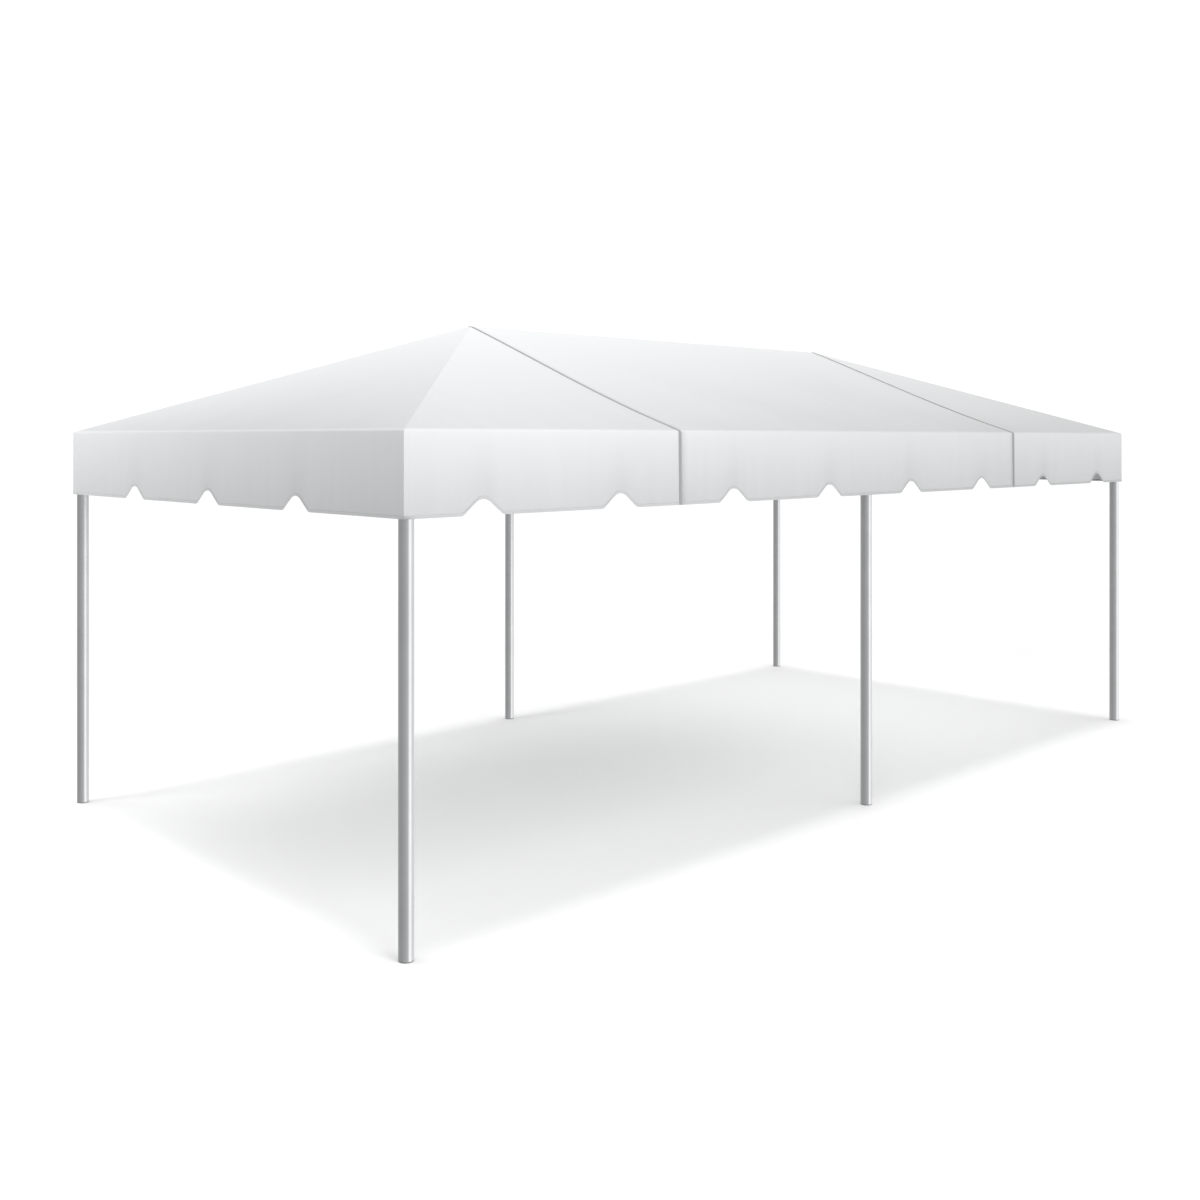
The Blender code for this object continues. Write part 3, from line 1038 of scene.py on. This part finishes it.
OUTER_STRAP = 3 * BELL_PITCH
strap_places = {
    "left": [("front", -OUTER_STRAP), ("back", OUTER_STRAP)],
    "middle": [(name, across) for name in ("front", "back") for across in (-BELL_PITCH, BELL_PITCH)],
    "right": [("front", OUTER_STRAP), ("back", -OUTER_STRAP)],
}
for where in ("left", "right"):
    strap_places[where] += [(f"{where}_end", across) for across in (-END_STRAP, END_STRAP)]
on_valance = (0, len(PATCH_SHARES) - 1)
on_roof = (-len(PATCH_SHARES), -1)
strap_pieces = {}
for where, places in strap_places.items():
    straps, buckles, stitches = bmesh.new(), bmesh.new(), bmesh.new()
    for side_name, across in places:
        side = sides[side_name]
        edges = [strap_line(side, across + half * STRAP_WIDTH) for half in (-0.5, 0.5)]
        strap = bmesh.new()
        bmesh.ops.create_grid(strap, x_segments=1, y_segments=len(edges[0]) - 1, size=1)
        for vert in strap.verts:
            vert.co = edges[round((vert.co.x + 1) / 2)][round((vert.co.y + 1) / 2 * (len(edges[0]) - 1))]
        add_mesh(straps, strap)
        middle = strap_line(side, across)
        width_way = (edges[1][0] - edges[0][0]).normalized()
        roof_point = middle[on_roof[0]]
        last_touch = middle[on_roof[0] - 1]
        along = (roof_point - last_touch).normalized()
        place = last_touch + (roof_point - last_touch) * BUCKLE_PLACE
        facing_room = width_way.cross(along)
        if facing_room.dot(outward_of(side)) > 0:
            width_way = -width_way
            facing_room = -facing_room
        add_mesh(buckles, buckle_mesh(place + facing_room * STRAP_THICKNESS / 2, along, width_way))
        for patch, room in ((on_valance, -outward_of(side)), (on_roof, Vector((0, 0, -1)))):
            for half in (-PATCH_STITCH_PLACE, PATCH_STITCH_PLACE):
                line = strap_line(side, across + half * STRAP_WIDTH)
                ends = [line[number] + room * STRAP_THICKNESS / 2 for number in patch]
                sew_along(stitches, ends, lambda point, room=room: room)
    strap_piece = finished_piece(f"tie_straps_{where}", straps, hem_webbing)
    thicken(strap_piece, STRAP_THICKNESS, offset=0)
    strap_pieces[where] = [
        strap_piece,
        finished_piece(f"tie_buckles_{where}", buckles, nylon),
        finished_piece(f"tie_stitches_{where}", stitches, sewing_thread, 60),
    ]
    print(strap_piece.name, len(places), "straps")
bpy.data.meshes.remove(one_stitch)

# %% [markdown]
# The size that each section is cut to, as a sheet of cloth. A hip end is cut as three triangles and their
# valances, laid out side by side. The middle is one width that runs from hem to hem.

CUTTING_SPARE = 0.1

end_cut = (2 * HALF_WIDTH, SLOPE_CLOTH + HALF_WIDTH + VALANCE_CLOTH + CUTTING_SPARE)
middle_cut = (2 * SEAM, 2 * (SLOPE_CLOTH + VALANCE_CLOTH))
for where, section in canopy_sections.items():
    trim = [hem_tapes[where], hem_stitches[where], *strap_pieces[where]]
    if where == "middle":
        trim += [*seam_strips.values(), *seam_stitches.values()]
for section_name, cut in (("hip end", end_cut), ("middle section", middle_cut)):
    print(section_name, "cut from", [round(side, 3) for side in cut], "m")

# %% [markdown]
# The tubes are round bars with a wall, and 48 sides keep their outline smooth. Each runs between two joints
# of the frame and stops inside the sleeves there. A tube starts as a circle, which is extruded along and
# moved, and a Solidify modifier gives it its wall. A few rings along it keep the UV map and the shading
# even.

# %% Joints and members of the frame
joints = {}
for end, x in (("left", -1), ("right", 1)):
    joints[f"crown_{end}"] = Vector((x * SEAM, 0, CROWN_Z))
    for side, y in (("front", -1), ("back", 1)):
        joints[f"corner_{side}_{end}"] = Vector((x * FRAME_X, y * FRAME_Y, FRAME_Z))
        joints[f"foot_{side}_{end}"] = Vector((x * FRAME_X, y * FRAME_Y, 0))
for side, y in (("front", -1), ("back", 1)):
    joints[f"side_{side}"] = Vector((0, y * FRAME_Y, FRAME_Z))
    joints[f"foot_{side}_middle"] = Vector((0, y * FRAME_Y, 0))

members = [("ridge_tube", "crown_left", "crown_right")]
for end in ("left", "right"):
    members.append((f"eave_tube_{end}_end", f"corner_front_{end}", f"corner_back_{end}"))
for side in ("front", "back"):
    members.append((f"leg_{side}_middle", f"foot_{side}_middle", f"side_{side}"))
    for end in ("left", "right"):
        members.append((f"leg_{side}_{end}", f"foot_{side}_{end}", f"corner_{side}_{end}"))
        members.append((f"eave_tube_{side}_{end}", f"corner_{side}_{end}", f"side_{side}"))
        members.append((f"hip_rafter_{side}_{end}", f"corner_{side}_{end}", f"crown_{end}"))
        members.append((f"roof_rafter_{side}_{end}", f"side_{side}", f"crown_{end}"))
print(len(joints), "joints and", len(members), "tubes")

# %% Tubes
TUBE_SIDES = 48
RING_SPACING = 0.25
PLUG_FLANGE = 0.0025
END_CHAMFER = 0.0008


def along_line(start, end):
    """A matrix whose Z runs from one joint to another, with its origin at the first."""
    return Matrix.Translation(start) @ (end - start).to_track_quat("Z", "Y").to_matrix().to_4x4()


def tube_mesh(first, last):
    """A round skin along Z with its ends turned in by a small chamfer, and a UV map in metres."""
    bm = bmesh.new()
    bmesh.ops.create_circle(bm, segments=TUBE_SIDES, radius=TUBE_RADIUS - END_CHAMFER)
    bmesh.ops.translate(bm, verts=bm.verts[:], vec=(0, 0, first))
    rings = max(2, math.ceil((last - first) / RING_SPACING))
    straight = last - first - 2 * END_CHAMFER
    heights = [first + END_CHAMFER + straight * step / rings for step in range(rings + 1)]
    edges = bm.edges[:]
    for height in heights + [last]:
        raised = bmesh.ops.extrude_edge_only(bm, edges=edges)
        edges = [item for item in raised["geom"] if isinstance(item, bmesh.types.BMEdge)]
        radius = TUBE_RADIUS if height < last else TUBE_RADIUS - END_CHAMFER
        for vert in verts_of(raised):
            flat = Vector((vert.co.x, vert.co.y, 0)).normalized() * radius
            vert.co = (flat.x, flat.y, height)
    bmesh.ops.recalc_face_normals(bm, faces=bm.faces[:])
    uv = bm.loops.layers.uv.new("tube")
    for face in bm.faces:
        around = [math.atan2(loop.vert.co.y, loop.vert.co.x) for loop in face.loops]
        crosses = max(around) - min(around) > math.pi
        for loop, angle in zip(face.loops, around):
            turned = angle + 2 * math.pi if crosses and angle < 0 else angle
            loop[uv].uv = (turned * TUBE_RADIUS, loop.vert.co.z)
    return bm


for name, start, end in members:
    leg = name.startswith("leg")
    length = (joints[end] - joints[start]).length
    first = PLUG_FLANGE if leg else BORE_START + SEAT_GAP
    bm = tube_mesh(first, length - BORE_START - SEAT_GAP)
    bmesh.ops.transform(bm, matrix=along_line(joints[start], joints[end]), verts=bm.verts[:])
    tube = finished_piece(f"drawn_{name}", bm, drawn_aluminium)
    thicken(tube, TUBE_WALL)
    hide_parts(name)
print("tubes of", round(2000 * TUBE_RADIUS, 1), "mm with", TUBE_SIDES, "sides")

# %% [markdown]
# A nylon plug closes the foot of each leg. Its flange is as wide as the tube and takes the wear, and its
# body goes up inside. It is a disc that is inset and extruded, with the flange's lower edge bevelled.

# %% Foot plugs
PLUG_DEPTH = 0.035
PLUG_SLACK = 0.0002
PLUG_BODY = TUBE_RADIUS - TUBE_WALL - PLUG_SLACK
PLUG_BEVEL = 0.0008

for name, start, end in members:
    if not name.startswith("leg"):
        continue
    bm = bmesh.new()
    bmesh.ops.create_circle(bm, cap_ends=True, segments=TUBE_SIDES, radius=TUBE_RADIUS)
    flange = bmesh.ops.extrude_face_region(bm, geom=bm.faces[:])
    bmesh.ops.translate(bm, verts=verts_of(flange), vec=(0, 0, PLUG_FLANGE - HAIR))
    top = [item for item in flange["geom"] if isinstance(item, bmesh.types.BMFace)]
    bmesh.ops.inset_region(bm, faces=top, thickness=TUBE_RADIUS - PLUG_BODY)
    body = bmesh.ops.extrude_face_region(bm, geom=top)
    raised = verts_of(body)
    bmesh.ops.delete(bm, geom=top, context="FACES_ONLY")
    bmesh.ops.translate(bm, verts=raised, vec=(0, 0, PLUG_DEPTH))
    bmesh.ops.recalc_face_normals(bm, faces=bm.faces[:])
    lower_edge = [edge for edge in bm.edges if all(vert.co.z < HAIR for vert in edge.verts)]
    round_edges(bm, lower_edge, PLUG_BEVEL)
    bmesh.ops.translate(bm, verts=bm.verts[:], vec=joints[start])
    finished_piece(name.replace("leg", "foot_plug"), bm, nylon)
print("plugs reach", PLUG_DEPTH * 1000, "mm up the legs")

# %% [markdown]
# A fitting is a hub with a sleeve for each tube that meets there. The sleeves are bars joined to a ball by
# a Boolean union, and blind bores are then cut into them. The Booleans are worked out here and the result
# kept as a mesh, so that no helper shapes are left. The mouth of each sleeve is chamfered before the union.

# %% Fittings
HUB_RADIUS = 0.0342
SLEEVE_START = 0.002
MOUTH_CHAMFER = 0.0012
BORE_SPARE = 0.01


def bar(radius, first, last, line, chamfer=0.0, chamfer_last=True):
    """A solid bar between two distances along a line, with one end chamfered."""
    bm = bmesh.new()
    middle = Matrix.Translation((0, 0, (first + last) / 2))
    bmesh.ops.create_cone(
        bm,
        cap_ends=True,
        segments=TUBE_SIDES,
        radius1=radius,
        radius2=radius,
        depth=last - first,
        matrix=middle,
    )
    if chamfer:
        level = last if chamfer_last else first
        rim = [edge for edge in bm.edges if all(abs(vert.co.z - level) < HAIR for vert in edge.verts)]
        round_edges(bm, rim, chamfer)
    bmesh.ops.transform(bm, matrix=line, verts=bm.verts[:])
    return bpy.data.objects.new("bar", mesh_from(bm, "bar"))


def helper_collection(name, objects):
    collection = bpy.data.collections.new(name)
    bpy.context.scene.collection.children.link(collection)
    for obj in objects:
        collection.objects.link(obj)
    return collection


def fitting_mesh(joint, ends):
    """ends holds the line of each tube, its length, and whether the joint is at its start."""
    sleeves = []
    bores = []
    for line, length, at_start in ends:
        if at_start:
            sleeve = (SLEEVE_START, SLEEVE_END)
            bore = (BORE_START, SLEEVE_END + BORE_SPARE)
        else:
            sleeve = (length - SLEEVE_END, length - SLEEVE_START)
            bore = (length - SLEEVE_END - BORE_SPARE, length - BORE_START)
        sleeves.append(bar(SLEEVE_RADIUS, *sleeve, line, MOUTH_CHAMFER, at_start))
        bores.append(bar(BORE_RADIUS, *bore, line))
    bm = bmesh.new()
    bmesh.ops.create_icosphere(bm, subdivisions=4, radius=HUB_RADIUS)
    bmesh.ops.translate(bm, verts=bm.verts[:], vec=joint)
    hub = bpy.data.objects.new("hub", mesh_from(bm, "hub"))
    bpy.context.scene.collection.objects.link(hub)
    groups = [
        ("UNION", helper_collection("sleeves", sleeves)),
        ("DIFFERENCE", helper_collection("bores", bores)),
    ]
    for operation, group in groups:
        modifier = hub.modifiers.new(operation, "BOOLEAN")
        modifier.operation = operation
        modifier.operand_type = "COLLECTION"
        modifier.collection = group
        modifier.solver = "EXACT"
    bpy.context.view_layer.update()
    result = bpy.data.meshes.new_from_object(hub.evaluated_get(bpy.context.evaluated_depsgraph_get()))
    bm = bmesh.new()
    bm.from_mesh(result)
    bpy.data.meshes.remove(result)
    for obj in sleeves + bores + [hub]:
        bpy.data.objects.remove(obj)
    for _, group in groups:
        bpy.data.collections.remove(group)
    return bm


print("hubs of", 2000 * HUB_RADIUS, "mm, sleeves to", SLEEVE_END * 1000, "mm")

# %% [markdown]
# The sleeves are welded to each other along the lines where they meet. A weld is laid down as a row of
# overlapping puddles, each a few millimetres on from the last. Its lines are the edges where the fitting's
# skin folds inward, and a flattened ball is set at each step along them. Next to the cloth the welds are
# ground flush, so that nothing rubs through it, and no puddles are set there.

# %% Welds
PUDDLE_PITCH = 0.0036
PUDDLE_APART = 0.6 * PUDDLE_PITCH
PUDDLE_SIZE = (0.0080, 0.0130, 0.0090)
WELD_REACH = 0.092
LEAST_FOLD = math.radians(12)
CLOTH_ROOM = 0.010

bm = bmesh.new()
bmesh.ops.create_icosphere(bm, subdivisions=1, radius=0.5)
bmesh.ops.scale(bm, vec=PUDDLE_SIZE, verts=bm.verts[:])
one_puddle = mesh_from(bm, "one_puddle")


def room_to_cloth(place):
    """How far inside the canopy a place is, measured to the nearest valance or slope."""
    inward = min(HALF_LENGTH - abs(place.x), HALF_WIDTH - abs(place.y))
    return min(inward, (EAVE + inward * math.tan(SLOPE) - place.z) * math.cos(SLOPE))


def weld(bm, joint):
    """Adds puddles along each line near the joint where the skin folds inward, and gives their number."""
    folds = [
        edge
        for edge in bm.edges
        if edge.is_manifold
        and edge.calc_face_angle_signed(0) < -LEAST_FOLD
        and all((vert.co - joint).length < WELD_REACH for vert in edge.verts)
    ]
    spots = []
    for edge in folds:
        here, there = (vert.co.copy() for vert in edge.verts)
        along = (there - here).normalized()
        normal = (edge.link_faces[0].normal + edge.link_faces[1].normal).normalized()
        steps = math.ceil((there - here).length / PUDDLE_PITCH)
        for step in range(steps):
            place = here.lerp(there, (step + 0.5) / steps)
            clear = all((place - other).length > PUDDLE_APART for other, _ in spots)
            if clear and room_to_cloth(place) > CLOTH_ROOM:
                spots.append((place, Matrix((along, normal.cross(along), normal)).transposed().to_4x4()))
    for place, turn in spots:
        add_copy(bm, one_puddle, place, turn)
    return len(spots)


lines_at = {name: [] for name in joints}
for name, start, end in members:
    line = along_line(joints[start], joints[end])
    length = (joints[end] - joints[start]).length
    lines_at[start].append((line, length, True))
    lines_at[end].append((line, length, False))
hubs = {name: joint for name, joint in joints.items() if not name.startswith("foot")}
for name, joint in hubs.items():
    kind, place = name.split("_", 1)
    bm = fitting_mesh(joint, lines_at[name])
    puddles = weld(bm, joint)
    fitting = finished_piece(f"{kind}_hub_{place}", bm, welded_aluminium)
    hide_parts(f"{kind}_fitting_{place}")
    print(fitting.name, len(fitting.data.polygons), "faces", puddles, "puddles")
bpy.data.meshes.remove(one_puddle)

# %% [markdown]
# A wing bolt in each sleeve pinches the tube. It sits on the side that faces into the tent, where hands
# reach it and the cloth doesn't lie, and on a tube that isn't upright it is turned down as well. It is a
# hexagonal boss, a shank and a bar across the end, each bevelled.

# %% Wing bolts
BOLT_PLACE = 0.150
BOSS_RADIUS = 0.011
BOSS_HEIGHT = 0.008
SHANK_RADIUS = 0.0045
SHANK_LENGTH = 0.026
WING_RADIUS = 0.0036
WING_LENGTH = 0.046
BOSS_SUNK = 0.001
BOSS_SIDES = 6
ROD_SIDES = 16
BOLT_DROP = 1.2
UPRIGHT_AXIS = 0.9


def wing_bolt_into(bm, matrix):
    """Adds one bolt that stands along the matrix's Z, from the sleeve's skin at its origin."""
    boss_place = Matrix.Translation((0, 0, BOSS_HEIGHT / 2 - BOSS_SUNK))
    shank_place = Matrix.Translation((0, 0, SHANK_LENGTH / 2))
    wing_place = Matrix.Translation((0, 0, SHANK_LENGTH)) @ Matrix.Rotation(math.pi / 2, 4, "Y")
    shapes = (
        (BOSS_SIDES, BOSS_RADIUS, BOSS_HEIGHT, boss_place, 0.0009),
        (ROD_SIDES, SHANK_RADIUS, SHANK_LENGTH, shank_place, 0.0006),
        (ROD_SIDES, WING_RADIUS, WING_LENGTH, wing_place, 0.0012),
    )
    for sides, radius, length, place, bevel in shapes:
        part = bmesh.new()
        bmesh.ops.create_cone(
            part,
            cap_ends=True,
            segments=sides,
            radius1=radius,
            radius2=radius,
            depth=length,
            matrix=matrix @ place,
        )
        round_edges(part, sharp_edges(part), bevel)
        add_mesh(bm, part)


for name, joint in hubs.items():
    inside = Vector((-joint.x, -joint.y, 0)).normalized()
    bm = bmesh.new()
    for line, length, at_start in lines_at[name]:
        axis = line.to_3x3() @ Vector((0, 0, 1 if at_start else -1))
        spot = joint + axis * BOLT_PLACE
        towards = inside + Vector((0, 0, -BOLT_DROP if abs(axis.z) < UPRIGHT_AXIS else 0))
        towards = (towards - axis * towards.dot(axis)).normalized()
        turn = towards.to_track_quat("Z", "Y").to_matrix().to_4x4()
        wing_bolt_into(bm, Matrix.Translation(spot + towards * SLEEVE_RADIUS) @ turn)
    kind, place = name.split("_", 1)
    finished_piece(f"wing_bolts_{kind}_{place}", bm, zinc_plate)
print("bolts", BOLT_PLACE * 1000, "mm from each joint")

# %% [markdown]
# The setting is a white studio. The floor is matt white and fades out well beyond the tent, so that it
# meets the white surroundings with no edge. A light straight overhead lays the soft shadow under the tent.
# Its surroundings are darker behind and to the left and lighter in front and to the right. A narrow window
# in them draws the bright line down each leg, and a weak card lightens the legs' right side. One soft box
# stands off the near long side and two off the near end, so that each side falls off from light to grey
# along its length. Two weak ones hang under the roof and face the floor, so that the shadow is darkest in
# the middle and fades towards its ends. The camera sees pure white behind it all.

# %% Studio
FLOOR_HALF = 20.0
FLOOR_CLEAR = 4.6
FLOOR_GONE = 9.0
FLOOR_DROP = 0.0005
SUN_STRENGTH = 0.70
SUN_SPREAD = math.radians(9)
WALL_DARK = 0.49
WALL_LIGHT = 0.91
WINDOW_LIGHT = 1.02
CEILING_LIGHT = 0.75
CARD_LIGHT = 0.30
BEHIND_LIGHT = 1.05
WALL_TOWARDS = math.radians(-30)
WINDOW_TOWARDS = math.radians(-66)
CARD_TOWARDS = math.radians(8)
WINDOW_EDGE = 0.86
CARD_EDGE = 0.5
CEILING_EDGE = 0.9
SIDE_POWER = 47
END_LOW_POWER = 54
END_HIGH_POWER = 31
SHADE_RIGHT_POWER = 12
SHADE_LEFT_POWER = 2.5

bm = bmesh.new()
bmesh.ops.create_grid(bm, x_segments=40, y_segments=40, size=FLOOR_HALF)
bmesh.ops.translate(bm, verts=bm.verts[:], vec=(0, 0, -FLOOR_DROP))
mesh = mesh_from(bm, "studio_floor")
floor = bpy.data.objects.new("studio_floor", mesh)
bpy.context.scene.collection.objects.link(floor)
floor.visible_glossy = False

matt_white, tree, shader = new_finish("matt_white_floor")
shader.inputs["Base Color"].default_value = (0.97, 0.97, 0.97, 1)
shader.inputs["Roughness"].default_value = 0.9
shader.inputs["Specular IOR Level"].default_value = 0.0
in_metres = add_node(tree, "ShaderNodeTexCoord")
distance = add_node(
    tree, "ShaderNodeVectorMath", {"operation": "LENGTH"}, {0: in_metres.outputs["Object"]}
)
presence = add_node(
    tree,
    "ShaderNodeMapRange",
    {"interpolation_type": "SMOOTHSTEP"},
    {
        "Value": distance.outputs["Value"],
        "From Min": FLOOR_CLEAR,
        "From Max": FLOOR_GONE,
        "To Min": 1,
        "To Max": 0,
    },
)
tree.links.new(presence.outputs["Result"], shader.inputs["Alpha"])
mesh.materials.append(matt_white)

world = bpy.data.worlds.new("white_studio")
world.use_nodes = True
bpy.context.scene.world = world
tree = world.node_tree
looking = add_node(tree, "ShaderNodeTexCoord")
level = add_node(
    tree, "ShaderNodeVectorMath", {"operation": "MULTIPLY"}, {0: looking.outputs["Generated"], 1: (1, 1, 0)}
)
level_unit = add_node(tree, "ShaderNodeVectorMath", {"operation": "NORMALIZE"}, {0: level.outputs["Vector"]})
facing = [
    add_node(
        tree,
        "ShaderNodeVectorMath",
        {"operation": "DOT_PRODUCT"},
        {0: level_unit.outputs["Vector"], 1: (math.cos(towards), math.sin(towards), 0)},
    )
    for towards in (WALL_TOWARDS, WINDOW_TOWARDS, CARD_TOWARDS)
]
walls = add_node(
    tree,
    "ShaderNodeMapRange",
    {},
    {
        "Value": facing[0].outputs["Value"],
        "From Min": -1,
        "From Max": 1,
        "To Min": WALL_DARK,
        "To Max": WALL_LIGHT,
    },
)
window = add_node(
    tree,
    "ShaderNodeMapRange",
    {"interpolation_type": "SMOOTHSTEP"},
    {
        "Value": facing[1].outputs["Value"],
        "From Min": WINDOW_EDGE,
        "From Max": 1,
        "To Min": 0,
        "To Max": WINDOW_LIGHT,
    },
)
card = add_node(
    tree,
    "ShaderNodeMapRange",
    {"interpolation_type": "SMOOTHSTEP"},
    {
        "Value": facing[2].outputs["Value"],
        "From Min": CARD_EDGE,
        "From Max": 1,
        "To Min": 0,
        "To Max": CARD_LIGHT,
    },
)
two_sides = add_node(
    tree, "ShaderNodeMath", {"operation": "ADD"}, {0: walls.outputs["Result"], 1: window.outputs["Result"]}
)
all_sides = add_node(
    tree, "ShaderNodeMath", {"operation": "ADD"}, {0: two_sides.outputs["Value"], 1: card.outputs["Result"]}
)
height = add_node(tree, "ShaderNodeSeparateXYZ", {}, {"Vector": looking.outputs["Generated"]})
ceiling = add_node(
    tree,
    "ShaderNodeMapRange",
    {"interpolation_type": "SMOOTHSTEP"},
    {"Value": height.outputs["Z"], "From Min": 0, "From Max": CEILING_EDGE, "To Min": 0, "To Max": 1},
)
brightness = add_node(
    tree,
    "ShaderNodeMix",
    {"data_type": "FLOAT"},
    {0: ceiling.outputs["Result"], 2: all_sides.outputs["Value"], 3: CEILING_LIGHT},
)
around = tree.nodes["Background"]
around.inputs["Color"].default_value = (1, 1, 1, 1)
tree.links.new(brightness.outputs[0], around.inputs["Strength"])
behind = add_node(tree, "ShaderNodeBackground", {}, {"Color": (1, 1, 1, 1), "Strength": BEHIND_LIGHT})
seen = add_node(tree, "ShaderNodeLightPath")
choose = add_node(
    tree,
    "ShaderNodeMixShader",
    {},
    {0: seen.outputs["Is Camera Ray"], 1: around.outputs[0], 2: behind.outputs[0]},
)
tree.links.new(choose.outputs[0], tree.nodes["World Output"].inputs["Surface"])

overhead_data = bpy.data.lights.new("overhead", "SUN")
overhead_data.energy = SUN_STRENGTH
overhead_data.angle = SUN_SPREAD
overhead = bpy.data.objects.new("overhead", overhead_data)
bpy.context.scene.collection.objects.link(overhead)

boxes = (
    ("side_box", SIDE_POWER, (1.6, 1.6), (-2.7, -3.4, 4.5), (-2.2, -1.2, 2.2)),
    ("end_box_low", END_LOW_POWER, (1.4, 1.4), (-6.2, 2.4, 2.2), (-3.0, 0.8, 1.9)),
    ("end_box_high", END_HIGH_POWER, (1.2, 1.2), (-3.3, 2.6, 4.3), (-2.7, 1.1, 2.1)),
    ("shade_box_right", SHADE_RIGHT_POWER, (2.2, 2.4), (2.0, 0.2, 1.6), (2.0, 0.2, 0.0)),
    ("shade_box_left", SHADE_LEFT_POWER, (1.2, 1.6), (-2.5, 1.0, 1.6), (-2.5, 1.0, 0.0)),
)
for name, power, (across, along), place, aim in boxes:
    box_data = bpy.data.lights.new(name, "AREA")
    box_data.shape = "RECTANGLE"
    box_data.size = across
    box_data.size_y = along
    box_data.energy = power
    box = bpy.data.objects.new(name, box_data)
    box.location = place
    box.rotation_euler = (Vector(aim) - box.location).to_track_quat("-Z", "Y").to_euler()
    box.visible_camera = False
    box.visible_glossy = False
    bpy.context.scene.collection.objects.link(box)

bpy.context.scene.view_settings.view_transform = "Standard"
bpy.context.scene.view_settings.look = "None"
print("a light overhead,", len(boxes), "soft boxes and a white surround")
